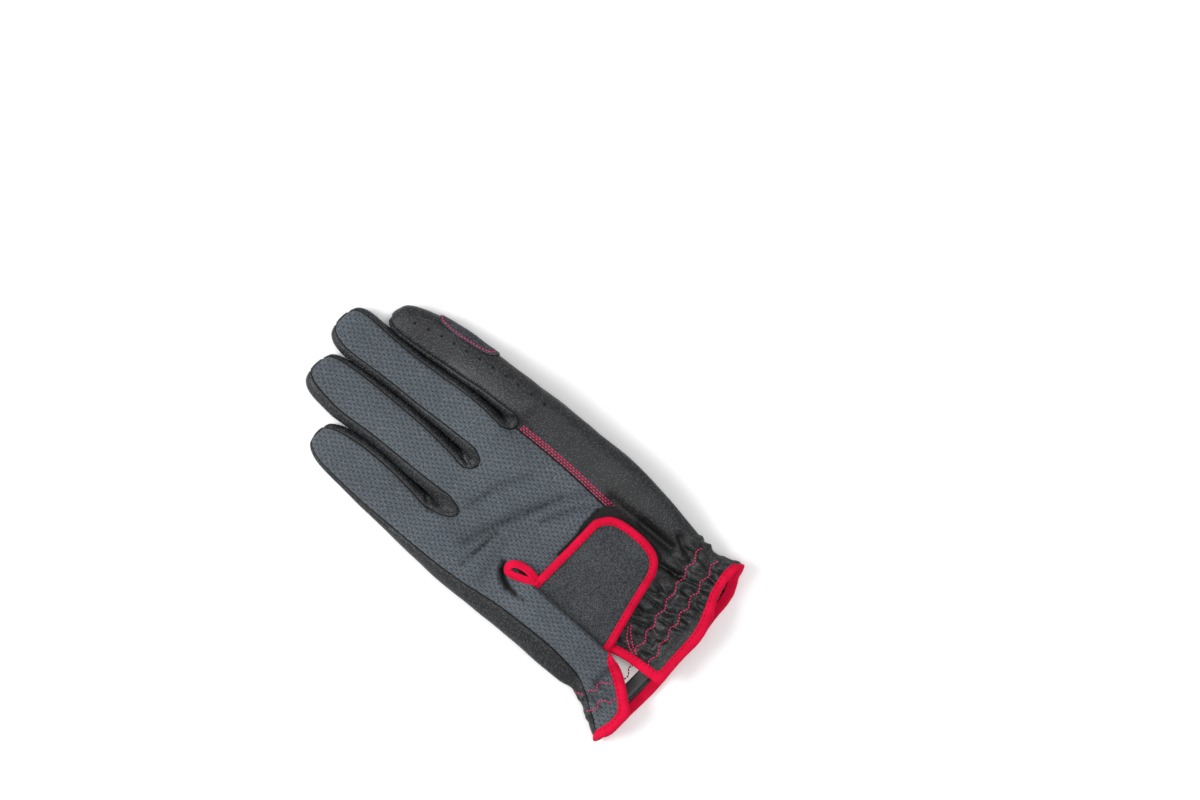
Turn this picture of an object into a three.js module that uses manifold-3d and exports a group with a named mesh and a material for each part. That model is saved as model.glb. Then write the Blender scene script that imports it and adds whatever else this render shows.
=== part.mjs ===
// A left-hand drummer's glove, lying palm down with its thumb tucked under the palm.
// Millimetres. +X is the thumb side, +Y points to the fingertips and +Z is up.
import * as THREE from "three";
import { mergeVertices } from "three/addons/utils/BufferGeometryUtils.js";
import Module from "manifold-3d";

// Overall sizes
const palmWidth = 109;
const palmLength = 130;
const middleLength = 102;
const ringLength = 94.7;
const indexLength = 85.4;
const littleLength = 70.3;
const handThickness = 20;
const fingerThickness = 13;

// Cloth, leather and tape
const wall = 1.2;
const seamGap = 0.3;
const tapeWall = 1;
const tapeDepth = 3.6;

// Wrist vent
const ventDepth = 24;
const ventWidth = 22;

// Closure
const tabLength = 54;
const tabHeight = 51;
const tabThickness = 1.4;
const padLength = 36;
const padHeight = 41;
const padThickness = 1;
const loopLength = 16;
const loopWidth = 11;
const loopOffset = 1.2;
const padCorner = 8;
const ribbonWidth = 3.4;
const ribbonThickness = 1.2;

// Thumb
const thumbHeight = 9;
const thumbWidth = 50;
const thumbLength = 128;
const thumbHoleWidth = 41;
const thumbHoleLength = 84;
const thumbPatchLength = 38;
const thumbPatchWidth = 17;
const patchThickness = 1;

// Label and tape inside the wrist
const labelWidth = 24;
const labelHeight = 21;
const wristTapeWidth = 5.8;
const wristTapeLength = 36;
const labelThickness = 1;

// Colours
const meshGrey = 0x4b525a;
const leatherBlack = 0x282c2e;
const tapeRed = 0xe11432;
const labelWhite = 0xf0f0ec;
const satinBlack = 0x17181a;

const half = palmWidth / 2;
const clamp = (value, low, high) => Math.min(high, Math.max(low, value));
const mix = (a, b, t) => a + (b - a) * t;
const ease = (t) => {
  const c = clamp(t, 0, 1);
  return c * c * (3 - 2 * c);
};
const bell = (distance, width) => Math.exp(-((distance / width) ** 2));

// Reads one column of a table between its rows, on a smooth curve that never overshoots them.
function read(rows, key, at, column) {
  const last = rows.length - 1;
  if (at <= rows[0][key]) return rows[0][column];
  if (at >= rows[last][key]) return rows[last][column];
  let i = 0;
  while (at > rows[i + 1][key]) i += 1;
  const slope = (k) => (rows[k + 1][column] - rows[k][column]) / (rows[k + 1][key] - rows[k][key]);
  const tangent = (k) => {
    if (k === 0 || k === last) return 0;
    const before = slope(k - 1);
    const after = slope(k);
    return before * after <= 0 ? 0 : (2 * before * after) / (before + after);
  };
  const step = rows[i + 1][key] - rows[i][key];
  const t = (at - rows[i][key]) / step;
  const [a, b] = [rows[i][column], rows[i + 1][column]];
  const [ta, tb] = [tangent(i) * step, tangent(i + 1) * step];
  return (
    a * (2 * t ** 3 - 3 * t ** 2 + 1) +
    ta * (t ** 3 - 2 * t ** 2 + t) +
    b * (3 * t ** 2 - 2 * t ** 3) +
    tb * (t ** 3 - t ** 2)
  );
}

// Lines that run up the hand from hem to crotches: along is a share of palmLength, the rest are shares
// of half the palm width.
const handLines = [
  { along: -0.07, ulnar: -1.05, seam: -0.99, triple: 0.6, radial: 1.03 },
  { along: -0.02, ulnar: -1.03, seam: -0.98, triple: 0.6, radial: 1.03 },
  { along: 0.04, ulnar: -0.95, seam: -0.87, triple: 0.58, radial: 1.02 },
  { along: 0.08, ulnar: -0.912, seam: -0.83, triple: 0.57, radial: 0.975 },
  { along: 0.15, ulnar: -0.862, seam: -0.74, triple: 0.56, radial: 0.94 },
  { along: 0.21, ulnar: -0.905, seam: -0.705, triple: 0.545, radial: 0.96 },
  { along: 0.31, ulnar: -0.923, seam: -0.692, triple: 0.535, radial: 0.985 },
  { along: 0.46, ulnar: -0.95, seam: -0.725, triple: 0.54, radial: 1.01 },
  { along: 0.58, ulnar: -0.975, seam: -0.765, triple: 0.535, radial: 1.018 },
  { along: 0.77, ulnar: -1.022, seam: -0.873, triple: 0.525, radial: 0.98 },
  { along: 0.92, ulnar: -1.046, seam: -0.93, triple: 0.5, radial: 0.95 },
  { along: 1.08, ulnar: -1.046, seam: -0.972, triple: 0.48, radial: 0.895 },
];

// Heights of the hand, as shares of handThickness: the crest of its back and its two edges.
const handHeights = [
  { along: -0.07, crest: 0.74, ulnarEdge: 0.2, radialEdge: 0.2 },
  { along: -0.02, crest: 0.72, ulnarEdge: 0.21, radialEdge: 0.22 },
  { along: 0.04, crest: 0.63, ulnarEdge: 0.22, radialEdge: 0.26 },
  { along: 0.08, crest: 0.57, ulnarEdge: 0.23, radialEdge: 0.28 },
  { along: 0.15, crest: 0.55, ulnarEdge: 0.25, radialEdge: 0.3 },
  { along: 0.21, crest: 0.66, ulnarEdge: 0.28, radialEdge: 0.4 },
  { along: 0.31, crest: 0.84, ulnarEdge: 0.31, radialEdge: 0.56 },
  { along: 0.46, crest: 0.96, ulnarEdge: 0.34, radialEdge: 0.66 },
  { along: 0.58, crest: 1, ulnarEdge: 0.35, radialEdge: 0.68 },
  { along: 0.77, crest: 1.02, ulnarEdge: 0.35, radialEdge: 0.68 },
  { along: 0.92, crest: 1, ulnarEdge: 0.34, radialEdge: 0.66 },
  { along: 1.08, crest: 0.96, ulnarEdge: 0.32, radialEdge: 0.62 },
];

// How far up the hem lies, as a share of palmLength, on the back and on the palm.
const hem = [
  { across: -1.05, back: -0.018, palm: -0.022 },
  { across: -0.92, back: -0.054, palm: -0.058 },
  { across: -0.73, back: -0.062, palm: -0.066 },
  { across: -0.37, back: -0.06, palm: -0.069 },
  { across: -0.18, back: -0.054, palm: -0.063 },
  { across: 0, back: -0.05, palm: -0.054 },
  { across: 0.18, back: -0.05, palm: -0.054 },
  { across: 0.33, back: -0.041, palm: -0.048 },
  { across: 0.51, back: -0.016, palm: -0.036 },
  { across: 0.66, back: 0.015, palm: -0.03 },
  { across: 0.83, back: 0.033, palm: -0.012 },
  { across: 1.03, back: 0.037, palm: 0.034 },
];

// Edges of the vent: up is a share of ventDepth above the hem line, left and right are shares of ventWidth
// from the line that the vent runs up into.
const vent = [
  { up: -0.35, left: -0.73, right: 0.3 },
  { up: -0.17, left: -0.6, right: 0.27 },
  { up: 0, left: -0.47, right: 0.245 },
  { up: 0.21, left: -0.31, right: 0.21 },
  { up: 0.42, left: -0.175, right: 0.18 },
  { up: 0.63, left: -0.105, right: 0.125 },
  { up: 0.79, left: -0.07, right: 0.072 },
  { up: 1, left: 0, right: 0 },
];

// The line that carries the vent and the free edge over the tab, as shares of half the palm width.
const ventLine = [
  { along: 0, across: -0.367 },
  { along: 0.17, across: -0.374 },
  { along: 0.31, across: -0.385 },
  { along: 0.54, across: -0.413 },
  { along: 0.8, across: -0.41 },
  { along: 1, across: -0.404 },
];

// Where the fingers meet each other and end sideways: along is a share of middleLength past the
// crotches, the rest are shares of half the palm width.
const fingerLines = [
  { along: 0, ulnar: -1.046, littleRing: -0.532, ringMiddle: -0.018, middleIndex: 0.473, radial: 0.923 },
  { along: 0.2, ulnar: -1.046, littleRing: -0.541, ringMiddle: -0.028, middleIndex: 0.459, radial: 0.862 },
  { along: 0.4, ulnar: -1.046, littleRing: -0.556, ringMiddle: -0.059, middleIndex: 0.404, radial: 0.808 },
  { along: 0.6, ulnar: -1.04, littleRing: -0.62, ringMiddle: -0.105, middleIndex: 0.337, radial: 0.735 },
  { along: 0.7, ulnar: -1.03, littleRing: -0.652, ringMiddle: -0.132, middleIndex: 0.312, radial: 0.672 },
  { along: 0.8, ulnar: -1.03, littleRing: -0.652, ringMiddle: -0.165, middleIndex: 0.294, radial: 0.6 },
  { along: 0.88, ulnar: -1.03, littleRing: -0.652, ringMiddle: -0.187, middleIndex: 0.284, radial: 0.56 },
];

// Each finger: the lines that bound it, how far its back seams lie in from them at the base, middle
// and tip (shares of half the palm width), how round its end is (share of its length), how thick it is
// and how far the thumb below lifts its base.
const fingers = [
  {
    name: "little",
    length: littleLength,
    left: "ulnar",
    right: "littleRing",
    leftInset: [0.085, 0.04, 0.015],
    rightInset: [0.092, 0.073, 0.07],
    round: 0.2,
    thick: 0.88,
    lifted: 0,
    patchRise: 0,
    backStart: [0.08, 0.075, 0.064, 0.046],
    palmStart: [0.13, 0.16, 0.17, 0.155],
  },
  {
    name: "ring",
    length: ringLength,
    left: "littleRing",
    right: "ringMiddle",
    leftInset: [0.125, 0.08, 0.12],
    rightInset: [0.105, 0.073, 0.03],
    round: 0.14,
    thick: 0.98,
    lifted: 0.3,
    patchRise: 0,
    backStart: [0.004, 0.018, 0.034, 0.046],
    palmStart: [0.155, 0.175, 0.185, 0.175],
  },
  {
    name: "middle",
    length: middleLength,
    left: "ringMiddle",
    right: "middleIndex",
    leftInset: [0.097, 0.06, 0.08],
    rightInset: [0.073, 0.073, 0.04],
    round: 0.14,
    thick: 1,
    lifted: 1,
    patchRise: 0,
    backStart: [0.064, 0.066, 0.06, 0.046],
    palmStart: [0.175, 0.185, 0.18, 0.16],
  },
  {
    name: "index",
    length: indexLength,
    left: "middleIndex",
    right: "radial",
    leftInset: [0.077, 0.046, 0.02],
    rightInset: [0.09, 0.09, 0.09],
    round: 0.12,
    thick: 0.98,
    lifted: 1,
    patchRise: patchThickness + 2 * seamGap,
    backStart: [0.042, 0.034, 0.024, 0.012],
    palmStart: [0.16, 0.175, 0.165, 0.13],
  },
];

// The crotches between the fingers: across is a share of the way from finger to finger, start a share
// of palmLength past the crotch line and height a share of handThickness.
const backWebs = [
  [
    { across: 0.08, start: 0.008, height: 0.68 },
    { across: 0.32, start: -0.042, height: 0.66 },
    { across: 0.62, start: -0.072, height: 0.65 },
    { across: 0.88, start: -0.069, height: 0.65 },
    { across: 1.0, start: -0.031, height: 0.67 },
  ],
  [
    { across: 0.14, start: 0.019, height: 0.8 },
    { across: 0.5, start: 0.005, height: 0.78 },
    { across: 0.86, start: 0.015, height: 0.8 },
  ],
  [
    { across: 0.14, start: 0.019, height: 0.86 },
    { across: 0.48, start: 0.004, height: 0.84 },
    { across: 0.8, start: 0.008, height: 0.86 },
  ],
];
const palmWebs = [0.122, 0.138, 0.124];
const webPoints = backWebs.map((web) => web.length);
const fingerPoints = 4;
const sideCells = 4;
const tripleColumn = 21;

// How the thumb lifts the palm: along is a share of palmLength, lift of thumbHeight.
const lifts = [
  { along: 0.06, lift: 0 },
  { along: 0.19, lift: 0.35 },
  { along: 0.3, lift: 0.88 },
  { along: 0.46, lift: 1 },
  { along: 0.8, lift: 1 },
  { along: 0.94, lift: 0.96 },
  { along: 1.04, lift: 0.9 },
  { along: 1.15, lift: 0.76 },
  { along: 1.23, lift: 0.55 },
  { along: 1.31, lift: 0.2 },
  { along: 1.38, lift: 0 },
];

// Plan of the thumb: along is a share of thumbLength, centre of half the palm width, width of thumbWidth.
const thumbStart = 0.2385 * palmLength;
const thumbPlan = [
  { along: 0, centre: 0.21, width: 0.2 },
  { along: 0.025, centre: 0.215, width: 0.5 },
  { along: 0.07, centre: 0.22, width: 0.76 },
  { along: 0.15, centre: 0.23, width: 0.92 },
  { along: 0.27, centre: 0.24, width: 1 },
  { along: 0.4, centre: 0.26, width: 1 },
  { along: 0.52, centre: 0.31, width: 0.92 },
  { along: 0.62, centre: 0.39, width: 0.78 },
  { along: 0.72, centre: 0.49, width: 0.62 },
  { along: 0.82, centre: 0.58, width: 0.5 },
  { along: 0.91, centre: 0.64, width: 0.44 },
  { along: 0.96, centre: 0.655, width: 0.36 },
  { along: 0.985, centre: 0.66, width: 0.25 },
  { along: 1, centre: 0.66, width: 0.12 },
];

// Folds pressed into the back: ends as shares of half the palm width and palmLength, width and depth
// as shares of handThickness.
const folds = [
  { x0: -0.83, y0: 0.79, x1: -0.28, y1: 0.777, width: 0.16, depth: 0.07 },
  { x0: -0.28, y0: 0.777, x1: 0.51, y1: 0.68, width: 0.16, depth: 0.07 },
  { x0: 0.15, y0: 0.7, x1: 0.51, y1: 0.585, width: 0.14, depth: 0.05 },
  { x0: 0.66, y0: 0.5, x1: 0.66, y1: 0.26, width: 0.2, depth: 0.1 },
  { x0: -0.66, y0: 0.58, x1: -0.55, y1: 0.68, width: 0.12, depth: 0.12 },
];
const gatherPitch = 11.5;
const gatherHeight = 1.1;
const rollHeight = 3.6;
const cuffShare = 0.37;
const rowShares = [
  0, 0.042, 0.09, 0.145, 0.195, 0.235, 0.29, cuffShare, 0.46, 0.55, 0.64, 0.71, 0.78, 0.85, 0.925, 1,
];
const ventRow = 5;
const fingerShares = [0, 0.12, 0.25, 0.4, 0.55, 0.7, 0.83, 0.92, 0.97, 1];

const lineAt = (y, column) => read(handLines, "along", y / palmLength, column);
const levelAt = (y, column) => read(handHeights, "along", y / palmLength, column);
const lift = (y) => thumbHeight * read(lifts, "along", y / palmLength, "lift");

function thumbAt(y) {
  const along = (y - thumbStart) / thumbLength;
  return {
    centre: half * read(thumbPlan, "along", along, "centre"),
    reach: (thumbWidth / 2) * read(thumbPlan, "along", along, "width"),
  };
}

// How round a section is at a place between -1 and 1 across it.
const bulge = (place, power) => (1 - clamp(Math.abs(place), 0, 1) ** power) ** (1 / power);
const handPower = 4;
const fingerPower = 2.5;
const tipPower = 2.3;
const crestTilt = { ulnar: 0.9, radial: 1.04 };
const crestAt = (share, y) =>
  handThickness * levelAt(y, "crest") * mix(crestTilt.ulnar, crestTilt.radial, share);

function handShare(x, y) {
  const [low, high] = [half * lineAt(y, "ulnar"), half * lineAt(y, "radial")];
  return clamp((x - low) / (high - low), 0, 1);
}

function edgeHeight(share, y) {
  return handThickness * mix(levelAt(y, "ulnarEdge"), levelAt(y, "radialEdge"), share);
}

// The back of the hand without its folds, which is what the closure lies on.
function backHeight(x, y) {
  const share = handShare(x, y);
  const edge = edgeHeight(share, y);
  return edge + (crestAt(share, y) - edge) * bulge(2 * share - 1, handPower);
}

// The palm's edge stands off the ground by the tape that goes under it, which just clears the ground.
const hemClear = 0.1;
const hemMargin = 2;
const hemFlat = tapeDepth + hemMargin;
const hemSlope = 8;
function hemRise(x, y) {
  const past = y - palmLength * read(hem, "across", x / half, "palm");
  return (hemClear + seamGap + tapeWall) * (1 - ease((past - hemFlat) / hemSlope));
}

const palmSlope = 16;
function palmHeight(x, y) {
  const share = handShare(x, y);
  const edge = edgeHeight(share, y);
  const thumb = thumbAt(y);
  const slopeEnd = thumb.centre - thumb.reach - 1;
  const raised = lift(y) * ease((x - slopeEnd) / palmSlope + 1) + hemRise(x, y);
  return edge - (edge - raised) * bulge(2 * share - 1, handPower);
}

function foldDepth(x, y) {
  return folds.reduce((sum, fold) => {
    const start = new THREE.Vector2(fold.x0 * half, fold.y0 * palmLength);
    const end = new THREE.Vector2(fold.x1 * half, fold.y1 * palmLength);
    const run = end.clone().sub(start);
    const t = clamp(new THREE.Vector2(x, y).sub(start).dot(run) / run.lengthSq(), 0, 1);
    const distance = start.addScaledVector(run, t).distanceTo(new THREE.Vector2(x, y));
    return sum + fold.depth * handThickness * bell(distance, fold.width * handThickness);
  }, 0);
}

const gatherFade = { start: 0.1, run: 0.1 };
const gather = (x, y) => {
  const fade = 1 - ease((y / palmLength - gatherFade.start) / gatherFade.run);
  return gatherHeight * Math.sin((2 * Math.PI * x) / gatherPitch) * fade;
};

// The skin is one surface of shared points, from which each panel is cut.
const points = [];
const faces = [];
const addPoint = (place) => points.push(place) - 1;
const addFace = (panel, ...corners) => faces.push({ panel, corners });
const sideShares = Array.from({ length: sideCells - 1 }, (_, j) => (j + 1) / sideCells);
const shareList = (count) => Array.from({ length: count }, (_, k) => k / (count - 1));

// A point on the side of a section, from its back corner round its edge to its palm corner.
function sidePoint(section, direction, share) {
  const { centre, reach, edge, up, down, power, backAt, palmAt } = section;
  const angleOf = (x) => Math.acos(clamp(Math.abs((x - centre) / reach), 0, 1) ** (power / 2));
  const angle = mix(angleOf(backAt), -angleOf(palmAt), share);
  const out = Math.cos(angle) ** (2 / power);
  const rise = Math.sign(angle) * Math.abs(Math.sin(angle)) ** (2 / power);
  return { x: centre + direction * reach * out, z: edge + rise * (rise > 0 ? up : down) };
}

const fingerGap = 0.6;
const crotchGap = 2.2;
const webRise = 2.5;
const palmSeamShare = 0.66;
const tipWidth = 0.32;
const tipHeight = 0.4;
const underShare = 0.8;
const crotchShare = 0.35;
const middleShare = 0.45;
const fingerTaper = { base: 1.06, tip: 0.84 };

function fingerSection(finger, y) {
  const past = y - palmLength;
  const own = clamp(past / finger.length, 0, 1);
  const line = (name) => half * read(fingerLines, "along", past / middleLength, name);
  const apart = fingerGap / 2 + crotchGap * Math.max(0, 1 - own / crotchShare) ** 2;
  const low = line(finger.left) + apart;
  const high = line(finger.right) - apart;
  const inset = ([base, middle, tip]) => {
    if (own < middleShare) return half * mix(base, middle, own / middleShare);
    return half * mix(middle, tip, (own - middleShare) / (1 - middleShare));
  };
  const centre = (low + high) / 2;
  const end = bulge(Math.max(0, (own - 1 + finger.round) / finger.round), tipPower);
  const narrow = mix(tipWidth, 1, end);
  const flat = mix(tipHeight, 1, end);
  const rest = finger.patchRise + finger.lifted * lift(y);
  const taper = mix(fingerTaper.base, fingerTaper.tip, own);
  const rise = (fingerThickness * finger.thick * taper) / 2;
  return {
    centre,
    reach: ((high - low) / 2) * narrow,
    edge: rest + rise * mix(underShare, 1, end),
    up: rise * flat,
    down: rise * mix(underShare, 1, end) * flat,
    power: fingerPower,
    backLow: centre + (low + inset(finger.leftInset) - centre) * narrow,
    backHigh: centre + (high - inset(finger.rightInset) - centre) * narrow,
    palmLow: centre - ((high - low) / 2) * palmSeamShare * narrow,
    palmHigh: centre + ((high - low) / 2) * palmSeamShare * narrow,
  };
}

function fingerBack(finger, y, share) {
  const section = fingerSection(finger, y);
  const x = mix(section.backLow, section.backHigh, share);
  const height = section.up * bulge((x - section.centre) / section.reach, section.power);
  return new THREE.Vector3(x, y, section.edge + height);
}

function fingerPalm(finger, y, share) {
  const section = fingerSection(finger, y);
  const x = mix(section.palmLow, section.palmHigh, share);
  const depth = section.down * bulge((x - section.centre) / section.reach, section.power);
  return new THREE.Vector3(x, y, section.edge - depth);
}

function fingerSide(finger, direction, backY, palmY, share) {
  const y = mix(backY, palmY, share);
  const section = fingerSection(finger, y);
  const right = direction > 0;
  const { x, z } = sidePoint(
    {
      ...section,
      backAt: right ? section.backHigh : section.backLow,
      palmAt: right ? section.palmHigh : section.palmLow,
    },
    direction,
    share,
  );
  return new THREE.Vector3(x, y, z);
}

const startY = (starts, k) => palmLength * (1 + starts[k]);
const tipY = (finger) => palmLength + finger.length;

// The row of points where the hand ends and the fingers and crotches begin, on the back or the palm.
function knuckleRow(face) {
  const back = face === "back";
  const row = [];
  const cornerAt = back ? fingerBack : fingerPalm;
  const startsOf = (finger) => (back ? finger.backStart : finger.palmStart);
  fingers.forEach((finger, f) => {
    shareList(fingerPoints).forEach((share, k) => {
      row.push(cornerAt(finger, startY(startsOf(finger), k), share));
    });
    if (f === fingers.length - 1) return;
    const next = fingers[f + 1];
    const from = row[row.length - 1];
    const to = cornerAt(next, startY(startsOf(next), 0), 0);
    for (let k = 0; k < webPoints[f]; k += 1) {
      const web = backWebs[f][k];
      const share = (k + 1) / (webPoints[f] + 1);
      const arch = 1 - (2 * share - 1) ** 2;
      row.push(
        back
          ? new THREE.Vector3(
              mix(from.x, to.x, web.across),
              palmLength * (1 + web.start),
              handThickness * web.height,
            )
          : new THREE.Vector3(
              mix(from.x, to.x, share),
              mix(mix(from.y, to.y, share), palmLength * (1 + palmWebs[f]), arch),
              mix(from.z, to.z, share),
            ),
      );
    }
  });
  return row;
}

const knuckles = { back: knuckleRow("back"), palm: knuckleRow("palm") };
const columns = knuckles.back.length;
const ventColumn = fingerPoints + webPoints[0];
const sideInset = 5.5;

// Where a column of the hand runs: on the back it keeps to the seams, on the palm it spreads evenly.
function columnPlace(face, column, y, t) {
  const back = face === "back";
  const line = (name) => half * lineAt(y, name);
  const keys = back
    ? [
        { column: 0, x: line("seam") },
        { column: ventColumn, x: half * read(ventLine, "along", y / palmLength, "across") },
        { column: tripleColumn, x: line("triple") },
        { column: columns - 1, x: line("radial") - sideInset },
      ]
    : [
        { column: 0, x: line("ulnar") + sideInset },
        { column: columns - 1, x: line("radial") - sideInset },
      ];
  let k = 0;
  while (column > keys[k + 1].column) k += 1;
  const [from, to] = [keys[k], keys[k + 1]];
  const even = (column - from.column) / (to.column - from.column);
  const atKnuckles = knuckles[face].map((place) => place.x);
  const spread =
    (atKnuckles[column] - atKnuckles[from.column]) / (atKnuckles[to.column] - atKnuckles[from.column]);
  return mix(from.x, to.x, mix(even, spread, ease(t)));
}

const hemSample = -0.05;
function columnY(face, column, t) {
  const across = columnPlace(face, column, hemSample * palmLength, 0) / half;
  return mix(palmLength * read(hem, "across", across, face), knuckles[face][column].y, t);
}

// The strip of the back that lies over the tab's sewn edge, in shares of palmLength.
const rollEnds = { start: 0.16, rise: 0.08, end: 0.5, fall: 0.1 };
const rollColumns = 4;
function roll(column, y) {
  if (column >= ventColumn || column < 1) return 0;
  const along = y / palmLength;
  const { start, rise, end, fall } = rollEnds;
  const ends = ease((along - start) / rise) * (1 - ease((along - end) / fall));
  const across = Math.sin((Math.PI / 2) * clamp(column / rollColumns, 0, 1));
  return rollHeight * ends * across;
}

const blendStart = 0.72;
function handPoint(face, column, t) {
  const y = columnY(face, column, t);
  const x = columnPlace(face, column, y, t);
  const gathered = gather(x, y);
  const height =
    face === "back"
      ? backHeight(x, y) - foldDepth(x, y) + roll(column, y) + (column > ventColumn ? gathered : 0)
      : palmHeight(x, y) + (x > 0 ? Math.max(0, gathered) : 0);
  return new THREE.Vector3(x, y, height).lerp(
    knuckles[face][column],
    ease((t - blendStart) / (1 - blendStart)),
  );
}

function handSide(direction, t, share, knuckleEnd) {
  const column = direction > 0 ? columns - 1 : 0;
  const [backY, palmY] = [columnY("back", column, t), columnY("palm", column, t)];
  const y = mix(backY, palmY, share);
  const [low, high] = [half * lineAt(y, "ulnar"), half * lineAt(y, "radial")];
  const centre = (low + high) / 2;
  const backAt = columnPlace("back", column, backY, t);
  const palmAt = columnPlace("palm", column, palmY, t);
  const edgeShare = direction > 0 ? 1 : 0;
  const edge = edgeHeight(edgeShare, y);
  const crest = crestAt(edgeShare, y);
  const raised = (direction > 0 ? lift(y) : 0) + hemRise(direction * half, y);
  const section = { centre, reach: (high - low) / 2, edge, up: crest - edge, down: edge - raised };
  const { x, z } = sidePoint({ ...section, power: handPower, backAt, palmAt }, direction, share);
  return new THREE.Vector3(x, y, z).lerp(knuckleEnd, ease((t - blendStart) / (1 - blendStart)));
}

function ventPoint(side, t) {
  const y = columnY("back", ventColumn, t);
  const up = y / ventDepth;
  const line = half * read(ventLine, "along", y / palmLength, "across");
  const x = line + ventWidth * read(vent, "up", up, side);
  return new THREE.Vector3(x, y, backHeight(x, y));
}

// Stations of the hand, each a closed loop of points: back, right side, palm and left side.
function knuckleSide(finger, direction, column) {
  const [backY, palmY] = [knuckles.back[column].y, knuckles.palm[column].y];
  return sideShares.map((share) => fingerSide(finger, direction, backY, palmY, share));
}
const knuckleSides = {
  left: knuckleSide(fingers[0], -1, 0),
  right: knuckleSide(fingers[fingers.length - 1], 1, columns - 1),
};
const columnList = Array.from({ length: columns }, (_, column) => column);
const sideList = sideShares.map((_, j) => j + 1);
const stations = rowShares.map((t, row) => {
  const back = columnList.map((column) => addPoint(handPoint("back", column, t)));
  const palm = columnList.map((column) => addPoint(handPoint("palm", column, t)));
  const sideIds = (direction, ends) =>
    sideShares.map((share, j) => addPoint(handSide(direction, t, share, ends[j])));
  const right = [back[columns - 1], ...sideIds(1, knuckleSides.right), palm[columns - 1]];
  const left = [back[0], ...sideIds(-1, knuckleSides.left), palm[0]];
  const ventLeft = row < ventRow ? addPoint(ventPoint("left", t)) : back[ventColumn];
  const ventRight = row < ventRow ? addPoint(ventPoint("right", t)) : back[ventColumn];
  // Columns beside the vent spread evenly between its edges and the next seam.
  if (row < ventRow) {
    const spread = (from, to, edge) => {
      const seamX = points[back[from]].x;
      for (let column = Math.min(from, to) + 1; column < Math.max(from, to); column += 1) {
        const share = (column - from) / (to - from);
        const place = points[back[column]];
        place.x = mix(seamX, points[edge].x, share);
        place.z = backHeight(place.x, place.y) + (column > ventColumn ? gather(place.x, place.y) : 0);
      }
    };
    spread(0, ventColumn, ventLeft);
    spread(tripleColumn, ventColumn, ventRight);
  }
  return { back, palm, right, left, ventLeft, ventRight };
});

const cuffRow = rowShares.indexOf(cuffShare);
function backPanel(row, column) {
  if (column < ventColumn) return "back_panel";
  if (column >= tripleColumn || row < cuffRow) return "leather_back";
  return "back_panel";
}

stations.slice(0, -1).forEach((station, row) => {
  const next = stations[row + 1];
  for (let column = 0; column < columns - 1; column += 1) {
    const rightEdge = (s) => (column + 1 === ventColumn ? s.ventLeft : s.back[column + 1]);
    const leftEdge = (s) => (column === ventColumn ? s.ventRight : s.back[column]);
    addFace(backPanel(row, column), leftEdge(station), rightEdge(station), rightEdge(next), leftEdge(next));
    const { palm } = station;
    addFace("palm_panel", palm[column + 1], palm[column], next.palm[column], next.palm[column + 1]);
  }
  for (let j = 0; j < sideCells; j += 1) {
    const outer = j < sideCells / 2 ? "leather_back" : "palm_panel";
    addFace(outer, station.right[j], station.right[j + 1], next.right[j + 1], next.right[j]);
    addFace("palm_panel", station.left[j + 1], station.left[j], next.left[j], next.left[j + 1]);
  }
});

// Fingers, each lofted from its share of the knuckle row to its rounded end.
const gussetNames = fingers.slice(1).map((finger, f) => `fourchette_${finger.name}_${fingers[f].name}`);
const meshFingers = fingers.slice(0, -1).map((finger) => `back_${finger.name}`);
const knuckleStation = stations[stations.length - 1];
const fingerLoops = fingers.map((finger, f) => {
  const first = webPoints.slice(0, f).reduce((sum, count) => sum + count + fingerPoints, 0);
  const own = (row) => row.slice(first, first + fingerPoints);
  const end = tipY(finger);
  return fingerShares.map((t, i) => {
    const yOf = (starts, k) => mix(startY(starts, k), end, t);
    const back =
      i === 0
        ? own(knuckleStation.back)
        : shareList(fingerPoints).map((share, k) =>
            addPoint(fingerBack(finger, yOf(finger.backStart, k), share)),
          );
    const palm =
      i === 0
        ? own(knuckleStation.palm)
        : shareList(fingerPoints).map((share, k) =>
            addPoint(fingerPalm(finger, yOf(finger.palmStart, k), share)),
          );
    const side = (direction) => {
      const k = direction > 0 ? fingerPoints - 1 : 0;
      if (i === 0 && f === 0 && direction < 0) return knuckleStation.left;
      if (i === 0 && f === fingers.length - 1 && direction > 0) return knuckleStation.right;
      const inner = sideShares.map((share) =>
        addPoint(fingerSide(finger, direction, yOf(finger.backStart, k), yOf(finger.palmStart, k), share)),
      );
      return [back[k], ...inner, palm[k]];
    };
    return { back, palm, right: side(1), left: side(-1) };
  });
});

fingers.forEach((finger, f) => {
  const loops = fingerLoops[f];
  const back = f === fingers.length - 1 ? "leather_back" : meshFingers[f];
  loops.slice(0, -1).forEach((loop, i) => {
    const next = loops[i + 1];
    for (let k = 0; k < fingerPoints - 1; k += 1) {
      addFace(back, loop.back[k], loop.back[k + 1], next.back[k + 1], next.back[k]);
      addFace("palm_panel", loop.palm[k + 1], loop.palm[k], next.palm[k], next.palm[k + 1]);
    }
    for (let j = 0; j < sideCells; j += 1) {
      const wrapped = j < sideCells / 2 ? "leather_back" : "palm_panel";
      const right = f < fingers.length - 1 ? gussetNames[f] : wrapped;
      const left = f > 0 ? gussetNames[f - 1] : "palm_panel";
      addFace(right, loop.right[j], loop.right[j + 1], next.right[j + 1], next.right[j]);
      addFace(left, loop.left[j + 1], loop.left[j], next.left[j], next.left[j + 1]);
    }
  });
  const tip = loops[loops.length - 1];
  for (let k = 0; k < fingerPoints - 1; k += 1) {
    addFace("palm_panel", tip.back[k], tip.back[k + 1], tip.palm[k + 1], tip.palm[k]);
  }
  for (let j = 1; j < sideCells; j += 1) {
    addFace("palm_panel", tip.right[0], tip.right[j], tip.right[j + 1]);
    addFace("palm_panel", tip.left[0], tip.left[j + 1], tip.left[j]);
  }
});

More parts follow.
